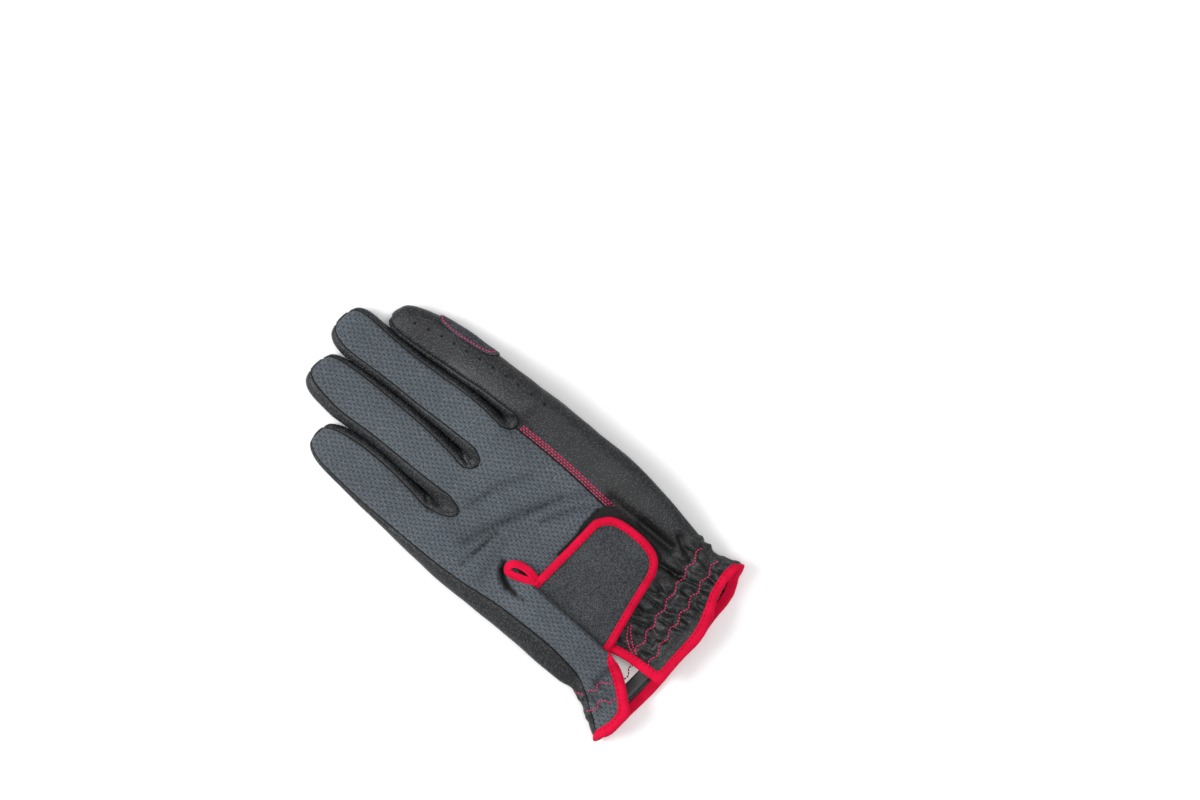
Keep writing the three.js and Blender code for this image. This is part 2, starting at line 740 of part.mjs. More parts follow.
// Crotches: each gusset turns round from one finger's side to the next one's.
gussetNames.forEach((name, f) => {
  const from = fingerLoops[f][0].right;
  const to = fingerLoops[f + 1][0].left;
  const first = webPoints.slice(0, f).reduce((sum, count) => sum + count + fingerPoints, 0) + fingerPoints;
  const strips = [from];
  for (let k = 0; k < webPoints[f]; k += 1) {
    const [top, bottom] = [knuckleStation.back[first + k], knuckleStation.palm[first + k]];
    const across = (k + 1) / (webPoints[f] + 1);
    const between = (j) => points[from[j]].clone().lerp(points[to[j]], across);
    const dips = [between(0).y - points[top].y, between(sideCells).y - points[bottom].y];
    const inner = sideShares.map((share, j) => {
      const place = between(j + 1);
      place.y -= mix(...dips, share);
      place.z += webRise * Math.sin(Math.PI * share) * Math.sin(Math.PI * across);
      return addPoint(place);
    });
    strips.push([top, ...inner, bottom]);
  }
  strips.push(to);
  strips.slice(0, -1).forEach((strip, k) => {
    for (let j = 0; j < sideCells; j += 1) {
      addFace(name, strip[j], strips[k + 1][j], strips[k + 1][j + 1], strip[j + 1]);
    }
  });
});

// Outward directions of the skin at its points.
function faceNormal(corners) {
  const places = corners.map((id) => points[id]);
  const [a, b, c, d] = places;
  const first = (d ? c : b).clone().sub(a);
  const second = d ? d.clone().sub(b) : c.clone().sub(a);
  return first.cross(second).normalize();
}
const normals = points.map(() => new THREE.Vector3());
faces.forEach(({ corners }) => {
  const normal = faceNormal(corners);
  corners.forEach((id, k) => {
    const before = points[corners[(k + corners.length - 1) % corners.length]].clone().sub(points[id]);
    const after = points[corners[(k + 1) % corners.length]].clone().sub(points[id]);
    normals[id].addScaledVector(normal, before.angleTo(after));
  });
});
normals.forEach((normal) => normal.normalize());

// Turns a list of places and polygons into a closed geometry that faces out.
function closedGeometry(places, polygons) {
  const triangles = [];
  polygons.forEach((polygon) => {
    if (polygon.length === 3) triangles.push(polygon);
    else {
      const [a, b, c, d] = polygon;
      const even = places[a].distanceTo(places[c]) <= places[b].distanceTo(places[d]);
      triangles.push(...(even ? [[a, b, c], [a, c, d]] : [[a, b, d], [b, c, d]]));
    }
  });
  const volume = triangles.reduce(
    (sum, [a, b, c]) => sum + places[a].dot(new THREE.Vector3().crossVectors(places[b], places[c])),
    0,
  );
  const ordered = volume < 0 ? triangles.map(([a, b, c]) => [a, c, b]) : triangles;
  const geometry = new THREE.BufferGeometry().setFromPoints(places);
  geometry.setIndex(ordered.flat());
  return geometry;
}

// Cuts a panel from the skin: its edges draw back for the seam gap and its wall goes inwards.
function panelGeometry(chosen, outward, inward) {
  const ids = [...new Set(chosen.flatMap((face) => face.corners))];
  const slot = new Map(ids.map((id, i) => [id, i]));
  const edges = new Map();
  chosen.forEach((face) => {
    face.corners.forEach((from, k) => {
      const to = face.corners[(k + 1) % face.corners.length];
      edges.set(`${from},${to}`, { from, to, normal: faceNormal(face.corners) });
    });
  });
  const rim = [...edges.values()].filter(({ from, to }) => !edges.has(`${to},${from}`));
  const drawn = ids.map(() => []);
  rim.forEach(({ from, to, normal }) => {
    const along = points[to].clone().sub(points[from]).normalize();
    const inwards = normal.clone().cross(along).normalize();
    drawn[slot.get(from)].push(inwards);
    drawn[slot.get(to)].push(inwards);
  });
  const shift = drawn.map((directions) => {
    if (directions.length < 2) return new THREE.Vector3();
    const sum = directions.reduce((total, direction) => total.add(direction), new THREE.Vector3());
    const spread = Math.max(0.6, sum.lengthSq() / 2);
    return sum.multiplyScalar(seamGap / 2 / spread);
  });
  const layer = (height) =>
    ids.map((id, i) => points[id].clone().add(shift[i]).addScaledVector(normals[id], height));
  const places = [...layer(outward), ...layer(-inward)];
  const count = ids.length;
  const polygons = [];
  chosen.forEach(({ corners }) => {
    const top = corners.map((id) => slot.get(id));
    // Both layers are split along the same diagonal.
    const [a, b, c, d] = top;
    const even = d === undefined || places[a].distanceTo(places[c]) <= places[b].distanceTo(places[d]);
    const split = d === undefined ? [[a, b, c]] : even ? [[a, b, c], [a, c, d]] : [[a, b, d], [b, c, d]];
    split.forEach((triangle) => {
      polygons.push(triangle);
      polygons.push(triangle.map((i) => i + count).reverse());
    });
  });
  rim.forEach(({ from, to }) => {
    const [a, b] = [slot.get(from), slot.get(to)];
    polygons.push([b, a, a + count, b + count]);
  });
  return closedGeometry(places, polygons);
}

const panel = (name) => panelGeometry(faces.filter((face) => face.panel === name), 0, wall);

// A plate over a grid of places, between two heights.
function plateGeometry(grid, low, high) {
  const rows = grid.length;
  const width = grid[0].length;
  const flat = grid.flat();
  const layer = (height) => flat.map((place) => new THREE.Vector3(place.x, place.y, place.z + height));
  const places = [...layer(high), ...layer(low)];
  const count = flat.length;
  const at = (i, j) => i * width + j;
  const polygons = [];
  for (let i = 0; i < rows - 1; i += 1) {
    for (let j = 0; j < width - 1; j += 1) {
      const [a, b, c, d] = [at(i, j), at(i, j + 1), at(i + 1, j + 1), at(i + 1, j)];
      [[a, b, c], [a, c, d]].forEach((triangle) => {
        polygons.push(triangle);
        polygons.push(triangle.map((id) => id + count).reverse());
      });
    }
  }
  const rim = [
    ...Array.from({ length: width - 1 }, (_, j) => at(0, j)),
    ...Array.from({ length: rows - 1 }, (_, i) => at(i, width - 1)),
    ...Array.from({ length: width - 1 }, (_, j) => at(rows - 1, width - 1 - j)),
    ...Array.from({ length: rows - 1 }, (_, i) => at(rows - 1 - i, 0)),
  ];
  rim.forEach((from, k) => {
    const to = rim[(k + 1) % rim.length];
    polygons.push([to, from, from + count, to + count]);
  });
  return closedGeometry(places, polygons);
}

// Fills the space between four edge curves with a grid of places in plan.
function patchGrid(bottom, top, left, right, columnsAcross, rowsUp, heightAt) {
  return shareList(rowsUp).map((v) =>
    shareList(columnsAcross).map((u) => {
      const blend = (key) =>
        mix(bottom(u)[key], top(u)[key], v) +
        mix(left(v)[key], right(v)[key], u) -
        mix(mix(bottom(0)[key], bottom(1)[key], u), mix(top(0)[key], top(1)[key], u), v);
      const [x, y] = [blend("x"), blend("y")];
      return new THREE.Vector3(x, y, heightAt(x, y));
    }),
  );
}

// Sweeps a closed section along stations that each give a place, an inward and an outward direction.
function sweepGeometry(path, section, closed) {
  const places = path.flatMap(({ place, inward, outward }) =>
    section.map(([a, b]) => place.clone().addScaledVector(inward, a).addScaledVector(outward, b)),
  );
  const sides = section.length;
  const polygons = [];
  const spans = closed ? path.length : path.length - 1;
  for (let i = 0; i < spans; i += 1) {
    const next = (i + 1) % path.length;
    for (let j = 0; j < sides; j += 1) {
      const k = (j + 1) % sides;
      polygons.push([i * sides + j, i * sides + k, next * sides + k, next * sides + j]);
    }
  }
  if (!closed) {
    const outline = section.map(([a, b]) => new THREE.Vector2(a, b));
    const cap = THREE.ShapeUtils.triangulateShape(outline, []);
    const turned = THREE.ShapeUtils.area(outline) > 0;
    const last = (path.length - 1) * sides;
    cap.forEach(([a, b, c]) => {
      polygons.push(turned ? [a, c, b] : [a, b, c]);
      polygons.push(turned ? [a + last, b + last, c + last] : [a + last, c + last, b + last]);
    });
  }
  return closedGeometry(places, polygons);
}

// Tape folded over an edge of a wall whose outer face is at height 0.
function tapeSection(thickness) {
  const out = seamGap + tapeWall;
  return [
    [-out, out],
    [-out, -thickness - out],
    [tapeDepth, -thickness - out],
    [tapeDepth, -thickness - seamGap],
    [-seamGap, -thickness - seamGap],
    [-seamGap, seamGap],
    [tapeDepth, seamGap],
    [tapeDepth, out],
  ];
}

// The red tape round the wrist and up both edges of the vent.
function hemPath() {
  const [base, above] = stations;
  const step = (id, inner) => ({
    place: points[id].clone(),
    inward: points[inner].clone().sub(points[id]).normalize(),
    outward: normals[id].clone(),
  });
  const corner = (id, first, second) => {
    const [a, b] = [first, second].map((other) => points[other].clone().sub(points[id]).normalize());
    const inward = a.clone().add(b).divideScalar(Math.sin(a.angleTo(b)));
    return { place: points[id].clone(), inward, outward: normals[id].clone() };
  };
  const hemStep = (key) => (k) => step(base[key][k], above[key][k]);
  const leftBack = columnList.slice(0, ventColumn - 2).reverse().map(hemStep("back"));
  const rightBack = columnList.slice(ventColumn + 1).reverse().map(hemStep("back"));
  const edgeUp = (key, neighbour) =>
    stations.slice(1, ventRow).map((station) => step(station[key], station.back[neighbour]));
  return [
    ...edgeUp("ventLeft", ventColumn - 2).reverse(),
    corner(base.ventLeft, above.ventLeft, base.back[ventColumn - 2]),
    ...leftBack,
    ...sideList.map(hemStep("left")),
    ...columnList.map(hemStep("palm")),
    ...[...sideList].reverse().map(hemStep("right")),
    ...rightBack,
    corner(base.ventRight, above.ventRight, base.back[ventColumn + 1]),
    ...edgeUp("ventRight", ventColumn + 1),
  ];
}

// Closure: the tab's outline is given for its outer edge; shares are of tabLength and tabHeight
// from its lower sewn corner.
const tabFoot = new THREE.Vector2(-0.4 * half, 0.1585 * palmLength);
const tabTop = [
  { share: 0, x: 0, y: 1.0 },
  { share: 0.5, x: 0.4, y: 1.01 },
  { share: 1, x: 0.8, y: 1.01 },
];
const tabEnd = [
  { share: 0, x: 0.83, y: 0.215 },
  { share: 0.14, x: 0.93, y: 0.29 },
  { share: 0.3, x: 0.985, y: 0.4 },
  { share: 0.5, x: 1, y: 0.55 },
  { share: 0.7, x: 0.975, y: 0.78 },
  { share: 0.86, x: 0.92, y: 0.92 },
  { share: 1, x: 0.8, y: 1.01 },
];
const tabBottom = [
  { share: 0, x: 0.02, y: 0.0 },
  { share: 0.5, x: 0.44, y: 0.11 },
  { share: 1, x: 0.83, y: 0.215 },
];
const tabLeft = [
  { share: 0, x: 0.02, y: 0 },
  { share: 1, x: 0, y: 1 },
];
const along = (table) => (share) => ({
  x: tabFoot.x + tabLength * read(table, "share", share, "x"),
  y: tabFoot.y + tabHeight * read(table, "share", share, "y"),
});
const padLift = seamGap;
const tabLift = padLift + padThickness + seamGap + tapeWall + seamGap;
const tabInset = seamGap + tapeWall;
const sewnShare = 0.03;
const tabAcross = 12;
const tabUp = 10;
const tabCentre = new THREE.Vector2(tabFoot.x + 0.4 * tabLength, tabFoot.y + 0.55 * tabHeight);
const drawIn = (curve) => (share) => {
  const place = curve(share);
  const towards = new THREE.Vector2(tabCentre.x - place.x, tabCentre.y - place.y).normalize();
  const bound = place.x > tabFoot.x + sewnShare * tabLength;
  const x = place.x + (bound ? towards.x * tabInset : 0);
  return { x, y: place.y + towards.y * tabInset };
};
const [tabBottomIn, tabTopIn, tabLeftIn, tabEndIn] = [tabBottom, tabTop, tabLeft, tabEnd].map((table) =>
  drawIn(along(table)),
);

function tabGeometry() {
  const grid = patchGrid(tabBottomIn, tabTopIn, tabLeftIn, tabEndIn, tabAcross, tabUp, backHeight);
  return plateGeometry(grid, tabLift, tabLift + tabThickness);
}

function tabTapePath() {
  const edge = [
    ...shareList(tabAcross).map(tabBottomIn),
    ...shareList(tabUp).slice(1).map(tabEndIn),
    ...shareList(tabAcross).reverse().slice(1).map(tabTopIn),
  ].map(({ x, y }) => new THREE.Vector3(x, y, backHeight(x, y) + tabLift + tabThickness));
  const up = new THREE.Vector3(0, 0, 1);
  return edge.map((place, i) => {
    const [before, after] = [edge[Math.max(i - 1, 0)], edge[Math.min(i + 1, edge.length - 1)]];
    const run = after.clone().sub(before).setZ(0).normalize();
    const inward = up.clone().cross(run);
    const reached = backHeight(place.x + inward.x * tapeDepth, place.y + inward.y * tapeDepth);
    inward.z = (reached - backHeight(place.x, place.y)) / tapeDepth;
    return { place, inward, outward: up.clone() };
  });
}

const padTopShare = 1.05;
function padGeometry() {
  const right = tabFoot.x + tabLength;
  const top = tabFoot.y + tabHeight * padTopShare;
  const grid = shareList(9).map((v) =>
    shareList(8).map((u) => {
      const y = top - padHeight + padHeight * v;
      const cut = Math.max(0, (y - top) / padCorner + 1, (top - padHeight - y) / padCorner + 1);
      const cornerLoss = padCorner * (1 - Math.sqrt(1 - Math.min(cut, 0.98) ** 2));
      const x = right - padLength + (padLength - cornerLoss) * u;
      return new THREE.Vector3(x, y, backHeight(x, y));
    }),
  );
  return plateGeometry(grid, padLift, padLift + padThickness);
}

// The pull loop is an eye of ribbon that stands off the tab's sewn top corner.
const loopRoot = new THREE.Vector2(tabFoot.x + loopOffset, tabFoot.y + 1.04 * tabHeight);
const loopLean = THREE.MathUtils.degToRad(24);
const ribbonLean = THREE.MathUtils.degToRad(43.8);
const loopOutline = [
  { share: 0, out: 0, side: 0 },
  { share: 0.12, out: 0.16, side: -0.2 },
  { share: 0.26, out: 0.42, side: -0.36 },
  { share: 0.38, out: 0.7, side: -0.36 },
  { share: 0.48, out: 0.92, side: -0.2 },
  { share: 0.56, out: 0.94, side: 0.12 },
  { share: 0.68, out: 0.72, side: 0.34 },
  { share: 0.8, out: 0.42, side: 0.34 },
  { share: 0.92, out: 0.12, side: 0.2 },
];
function loopGeometry() {
  const axis = new THREE.Vector2(-Math.sin(loopLean), Math.cos(loopLean));
  const across = new THREE.Vector2(axis.y, -axis.x);
  const places = loopOutline.map(({ out, side }) => {
    const flat = loopRoot
      .clone()
      .addScaledVector(axis, out * loopLength)
      .addScaledVector(across, side * loopWidth);
    const height = backHeight(flat.x, flat.y) + mix(tabLift + tabThickness, tabLift, out);
    return new THREE.Vector3(flat.x, flat.y, height);
  });
  const centre = new THREE.Box3().setFromPoints(places).getCenter(new THREE.Vector3());
  const [upright, leaning] = [Math.cos(ribbonLean), Math.sin(ribbonLean)];
  const path = places.map((place, i) => {
    const before = places[(i + places.length - 1) % places.length];
    const run = places[(i + 1) % places.length].clone().sub(before);
    const outward = new THREE.Vector3(run.y, -run.x, 0).normalize();
    if (outward.dot(place.clone().sub(centre)) < 0) outward.negate();
    // The ribbon leans, so that its face shows from above.
    const width = new THREE.Vector3(0, 0, upright).addScaledVector(outward, -leaning);
    const face = new THREE.Vector3(0, 0, leaning).addScaledVector(outward, upright);
    return { place, inward: width, outward: face };
  });
  const [w, t] = [ribbonWidth / 2, ribbonThickness / 2];
  return sweepGeometry(path, [[-w, -t], [w, -t], [w, t], [-w, t]], true);
}

// Thumb: a flattened sock below the palm, open to it through an oval hole.
const wasm = await Module();
wasm.setup();

function solidOf(geometry) {
  const bare = geometry.clone();
  bare.deleteAttribute("normal");
  bare.deleteAttribute("uv");
  const merged = mergeVertices(bare, 1e-4);
  return new wasm.Manifold(
    new wasm.Mesh({
      numProp: 3,
      vertProperties: merged.attributes.position.array,
      triVerts: new Uint32Array(merged.index.array),
    }),
  );
}

function geometryOf(solid) {
  const mesh = solid.getMesh();
  const geometry = new THREE.BufferGeometry();
  geometry.setAttribute("position", new THREE.BufferAttribute(mesh.vertProperties, 3));
  geometry.setIndex(new THREE.BufferAttribute(mesh.triVerts, 1));
  return geometry;
}

const thumbTopGap = 0.6;
const thumbPatchStart = 0.6;
const thumbStations = [
  0, 0.025, 0.06, 0.11, 0.18, 0.27, 0.37, 0.46, 0.55, 0.63, 0.71, 0.79, 0.86, 0.92, 0.96, 0.985, 1,
];
const thumbSides = 18;
const thumbLeast = { height: 0.8, width: 1.2 };
const thumbCover = 3;
const thumbFlat = 1.25;
const thumbRise = (y) =>
  (patchThickness + seamGap) * ease(((y - thumbStart) / thumbLength - thumbPatchStart + 0.08) / 0.08);

function thumbSolid(inset) {
  const path = thumbStations.map((share) => {
    const y = thumbStart + inset + (thumbLength - 2 * inset) * share;
    const { centre, reach } = thumbAt(thumbStart + thumbLength * share);
    const low = thumbRise(y) + inset;
    const cover = Math.min(lift(y - thumbCover), lift(y + thumbCover));
    const high = Math.max(low + thumbLeast.height, cover - thumbTopGap - inset);
    const width = Math.max(thumbLeast.width, reach - inset);
    return Array.from({ length: thumbSides }, (_, k) => {
      const angle = (2 * Math.PI * (k + 0.5)) / thumbSides;
      const across = Math.sign(Math.cos(angle)) * Math.abs(Math.cos(angle)) ** 0.5;
      const up = Math.sign(Math.sin(angle)) * Math.min(1, thumbFlat * Math.abs(Math.sin(angle)) ** 0.5);
      return new THREE.Vector3(centre + width * across, y, mix(low, high, (1 + up) / 2));
    });
  });
  const places = path.flat();
  const polygons = [];
  path.slice(0, -1).forEach((_, i) => {
    for (let j = 0; j < thumbSides; j += 1) {
      const k = (j + 1) % thumbSides;
      const [here, next] = [i * thumbSides, (i + 1) * thumbSides];
      polygons.push([here + j, here + k, next + k, next + j]);
    }
  });
  const last = (path.length - 1) * thumbSides;
  for (let j = 1; j < thumbSides - 1; j += 1) {
    polygons.push([0, j + 1, j], [last, last + j, last + j + 1]);
  }
  return solidOf(closedGeometry(places, polygons));
}

// A cutter the shape of the thumb hole, between two heights.
const holeCentre = new THREE.Vector2(0.2385 * half, 0.6 * palmLength);
const holeTurn = THREE.MathUtils.degToRad(-4);
const holeNarrowing = 0.12;
function holeCutter(low, high) {
  const sides = 28;
  const shape = new THREE.Shape(
    Array.from({ length: sides }, (_, k) => {
      const angle = (2 * Math.PI * k) / sides;
      const narrowing = 1 - holeNarrowing * Math.sin(angle);
      return new THREE.Vector2(
        (thumbHoleWidth / 2) * narrowing * Math.cos(angle),
        (thumbHoleLength / 2) * Math.sin(angle),
      )
        .rotateAround(new THREE.Vector2(), holeTurn)
        .add(holeCentre);
    }),
  );
  const cutter = new THREE.ExtrudeGeometry(shape, { depth: high - low, bevelEnabled: false });
  return solidOf(cutter.translate(0, 0, low));
}

const insideHeight = handThickness * 0.75;
const palmCutter = holeCutter(thumbHeight * 0.35, insideHeight);
const thumb = thumbSolid(0).subtract(thumbSolid(wall)).subtract(holeCutter(thumbHeight * 0.45, insideHeight));
const palmPanel = solidOf(panel("palm_panel")).subtract(palmCutter);

// The oval patch on the pad of the thumb lies under it, on the ground.
const thumbPatchShare = 0.815;
function thumbPatchGeometry() {
  const y = thumbStart + thumbLength * thumbPatchShare;
  const { centre } = thumbAt(y);
  const span = 0.24 * thumbWidth;
  const lean = Math.atan2(thumbAt(y + span).centre - thumbAt(y - span).centre, 2 * span);
  const sides = 24;
  const shape = new THREE.Shape(
    Array.from({ length: sides }, (_, k) => {
      const angle = (2 * Math.PI * k) / sides;
      return new THREE.Vector2(
        (thumbPatchWidth / 2) * Math.cos(angle),
        (thumbPatchLength / 2) * Math.sin(angle),
      );
    }),
  );
  const geometry = new THREE.ExtrudeGeometry(shape, { depth: patchThickness, bevelEnabled: false });
  geometry.deleteAttribute("normal");
  geometry.deleteAttribute("uv");
  return mergeVertices(geometry.rotateZ(-lean).translate(centre, y, 0), 1e-4);
}

// The second layer on the index finger goes round its pad, its outer side and just onto its back.
const patchStations = [3, 6];
function indexPatchGeometry() {
  const loops = fingerLoops[fingers.length - 1].slice(patchStations[0], patchStations[1] + 1);
  const ring = (loop) => [loop.right[1], loop.right[2], loop.right[3], ...[...loop.palm].reverse()];
  const chosen = [];
  loops.slice(0, -1).forEach((loop, i) => {
    const [here, next] = [ring(loop), ring(loops[i + 1])];
    for (let k = 0; k < here.length - 1; k += 1) {
      chosen.push({ panel: "index_patch", corners: [here[k], here[k + 1], next[k + 1], next[k]] });
    }
  });
  return panelGeometry(chosen, seamGap + patchThickness, -seamGap);
}

// Label and tape lie on the inner face of the palm below the vent.
function innerPlate(left, bottom, width, height, across, up) {
  const grid = shareList(up).map((v) =>
    shareList(across).map((u) => {
      const [x, y] = [left + width * u, bottom + height * v];
      return new THREE.Vector3(x, y, palmHeight(x, y) + wall + seamGap);
    }),
  );
  return plateGeometry(grid, 0, labelThickness);
}
const wristTapeBottom = -3.2;
const labelBottom = wristTapeBottom + wristTapeWidth + seamGap;
const labelCentre = -21.5;

const leather = () => new THREE.MeshStandardMaterial({ color: leatherBlack, roughness: 0.55, metalness: 0 });
const cloth = (color) => new THREE.MeshStandardMaterial({ color, roughness: 0.9, metalness: 0 });

const pieces = [
  ["back_panel", panel("back_panel"), cloth(meshGrey)],
  ...meshFingers.map((name) => [name, panel(name), cloth(meshGrey)]),
  ["leather_back", panel("leather_back"), leather()],
  ["palm_panel", geometryOf(palmPanel), leather()],
  ...gussetNames.map((name) => [name, panel(name), leather()]),
  ["index_patch", indexPatchGeometry(), leather()],
  ["thumb", geometryOf(thumb), leather()],
  ["thumb_patch", thumbPatchGeometry(), leather()],
  ["hem_binding", sweepGeometry(hemPath(), tapeSection(wall), false), cloth(tapeRed)],
  ["closure_tab", tabGeometry(), leather()],
  ["tab_binding", sweepGeometry(tabTapePath(), tapeSection(tabThickness), false), cloth(tapeRed)],
  ["loop_pad", padGeometry(), cloth(satinBlack)],
  ["pull_loop", loopGeometry(), cloth(tapeRed)],
  [
    "care_label",
    innerPlate(labelCentre - labelWidth / 2, labelBottom, labelWidth, labelHeight, 5, 4),
    cloth(labelWhite),
  ],
  [
    "wrist_tape",
    innerPlate(labelCentre - wristTapeLength / 2, wristTapeBottom, wristTapeLength, wristTapeWidth, 7, 2),
    cloth(satinBlack),
  ],
];

const assembly = new THREE.Group();
pieces.forEach(([name, geometry, material]) => {
  const mesh = new THREE.Mesh(geometry, material);
  mesh.name = name;
  assembly.add(mesh);
});

// The origin is under the middle of the glove, on the ground.
const box = new THREE.Box3().setFromObject(assembly);
const middle = box.getCenter(new THREE.Vector3());
assembly.position.set(-middle.x, -middle.y, -box.min.z);
const glove = new THREE.Group();
glove.add(assembly);

export default glove;
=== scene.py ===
import math
import random

import bmesh
import bpy
import numpy as np
from mathutils import Matrix, Vector, noise
from mathutils.bvhtree import BVHTree
from mathutils.kdtree import KDTree


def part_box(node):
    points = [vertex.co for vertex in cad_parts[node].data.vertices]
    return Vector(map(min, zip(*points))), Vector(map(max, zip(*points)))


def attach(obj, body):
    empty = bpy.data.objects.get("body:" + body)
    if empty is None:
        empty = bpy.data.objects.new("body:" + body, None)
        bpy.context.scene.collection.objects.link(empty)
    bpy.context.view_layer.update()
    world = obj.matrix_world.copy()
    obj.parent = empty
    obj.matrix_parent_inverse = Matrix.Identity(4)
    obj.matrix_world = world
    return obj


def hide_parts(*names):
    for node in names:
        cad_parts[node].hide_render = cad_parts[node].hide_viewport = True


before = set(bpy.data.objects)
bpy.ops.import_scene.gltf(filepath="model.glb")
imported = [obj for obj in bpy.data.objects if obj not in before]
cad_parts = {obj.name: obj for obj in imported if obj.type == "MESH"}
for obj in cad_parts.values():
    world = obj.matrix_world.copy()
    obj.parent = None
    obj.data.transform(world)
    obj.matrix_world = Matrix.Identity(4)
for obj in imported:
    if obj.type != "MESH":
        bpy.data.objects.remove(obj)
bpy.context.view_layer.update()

MM = 0.001

# Sizes that the solids share
PALM_WIDTH = 109
PALM_LENGTH = 130
MIDDLE_LENGTH = 102
RING_LENGTH = 94.7
INDEX_LENGTH = 85.4
LITTLE_LENGTH = 70.3
HAND_THICKNESS = 20
FINGER_THICKNESS = 13
WALL = 1.2
SEAM_GAP = 0.3
TAPE_WALL = 1
TAPE_DEPTH = 3.6
VENT_DEPTH = 24
VENT_WIDTH = 22
TAB_LENGTH = 54
TAB_HEIGHT = 51
TAB_THICKNESS = 1.4
PAD_LENGTH = 36
PAD_HEIGHT = 41
PAD_THICKNESS = 1
LOOP_LENGTH = 16
LOOP_WIDTH = 11
THUMB_HEIGHT = 9
THUMB_WIDTH = 50
THUMB_LENGTH = 128
THUMB_HOLE_WIDTH = 41
THUMB_HOLE_LENGTH = 84
THUMB_PATCH_LENGTH = 38
THUMB_PATCH_WIDTH = 17
PATCH_THICKNESS = 1
LABEL_WIDTH = 24
LABEL_HEIGHT = 21
WRIST_TAPE_WIDTH = 5.8
WRIST_TAPE_LENGTH = 36
HALF = PALM_WIDTH / 2

# The label's near left corner ties the glove's measures to the frame.
LABEL_LEFT = -33.5
LABEL_BOTTOM = 2.9
LABEL_CENTRE = LABEL_LEFT + LABEL_WIDTH / 2
label_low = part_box("care_label")[0]
OFFSET = Vector((label_low[0] / MM - LABEL_LEFT, label_low[1] / MM - LABEL_BOTTOM, 0))


def table(columns, *rows):
    """Rows with named columns."""
    return [dict(zip(columns.split(), row)) for row in rows]


def mix(a, b, t):
    return a + (b - a) * t


def clamp(value, low, high):
    return max(low, min(high, value))


def ease(t):
    c = clamp(t, 0, 1)
    return c * c * (3 - 2 * c)


def shares(count):
    """Even steps from 0 to 1."""
    return [k / (count - 1) for k in range(count)]


def turns(count, start=0.0):
    """Even angles round a circle."""
    return [2 * math.pi * (k + start) / count for k in range(count)]


def squared(angle, power):
    """Across and up at an angle of a rounded square, which is a circle at power 2."""
    across, up = math.cos(angle), math.sin(angle)
    return math.copysign(abs(across) ** (2 / power), across), math.copysign(abs(up) ** (2 / power), up)


def read(rows, key, at, column):
    """Reads a column between its rows, on a smooth curve that never overshoots them."""
    last = len(rows) - 1
    if at <= rows[0][key]:
        return rows[0][column]
    if at >= rows[last][key]:
        return rows[last][column]
    i = 0
    while at > rows[i + 1][key]:
        i += 1

    def slope(k):
        return (rows[k + 1][column] - rows[k][column]) / (rows[k + 1][key] - rows[k][key])

    def tangent(k):
        if k in (0, last):
            return 0
        before, after = slope(k - 1), slope(k)
        return 0 if before * after <= 0 else 2 * before * after / (before + after)

    step = rows[i + 1][key] - rows[i][key]
    t = (at - rows[i][key]) / step
    a, b = rows[i][column], rows[i + 1][column]
    ta, tb = tangent(i) * step, tangent(i + 1) * step
    return (
        a * (2 * t**3 - 3 * t**2 + 1)
        + ta * (t**3 - 2 * t**2 + t)
        + b * (3 * t**2 - 2 * t**3)
        + tb * (t**3 - t**2)
    )


# Outline of the hand from hem to crotches, in shares of the palm's length, half its width and its thickness
HAND = table(
    "along ulnar seam triple radial crest ulnar_edge radial_edge",
    (-0.07, -1.05, -0.99, 0.6, 1.03, 0.74, 0.2, 0.2),
    (-0.02, -1.03, -0.98, 0.6, 1.03, 0.72, 0.21, 0.22),
    (0.04, -0.95, -0.87, 0.58, 1.02, 0.63, 0.22, 0.26),
    (0.08, -0.912, -0.83, 0.57, 0.975, 0.57, 0.23, 0.28),
    (0.15, -0.862, -0.74, 0.56, 0.94, 0.55, 0.25, 0.3),
    (0.21, -0.905, -0.705, 0.545, 0.96, 0.66, 0.28, 0.4),
    (0.31, -0.923, -0.692, 0.535, 0.985, 0.84, 0.31, 0.56),
    (0.46, -0.95, -0.725, 0.54, 1.01, 0.96, 0.34, 0.66),
    (0.58, -0.975, -0.765, 0.535, 1.018, 1, 0.35, 0.68),
    (0.77, -1.022, -0.873, 0.525, 0.98, 1.02, 0.35, 0.68),
    (0.92, -1.046, -0.93, 0.5, 0.95, 1, 0.34, 0.66),
    (1.08, -1.046, -0.972, 0.48, 0.895, 0.96, 0.32, 0.62),
)
# The hem, on the back and on the palm
HEM = table(
    "across back palm",
    (-1.05, -0.018, -0.022),
    (-0.92, -0.054, -0.058),
    (-0.73, -0.062, -0.066),
    (-0.37, -0.06, -0.069),
    (-0.18, -0.054, -0.063),
    (0, -0.05, -0.054),
    (0.18, -0.05, -0.054),
    (0.33, -0.041, -0.048),
    (0.51, -0.016, -0.036),
    (0.66, 0.015, -0.03),
    (0.83, 0.033, -0.012),
    (1.03, 0.037, 0.034),
)
# The vent's two edges, in vent widths from its middle line, up the vent's depth
VENT = table(
    "up left right",
    (-0.35, -0.73, 0.3),
    (-0.17, -0.6, 0.27),
    (0, -0.47, 0.245),
    (0.21, -0.31, 0.21),
    (0.42, -0.175, 0.18),
    (0.63, -0.105, 0.125),
    (0.79, -0.07, 0.072),
    (1, 0, 0),
)
# The vent's middle line and the seam above it
VENT_LINE = table(
    "along across",
    (0, -0.367),
    (0.17, -0.374),
    (0.31, -0.385),
    (0.54, -0.413),
    (0.8, -0.41),
    (1, -0.404),
)
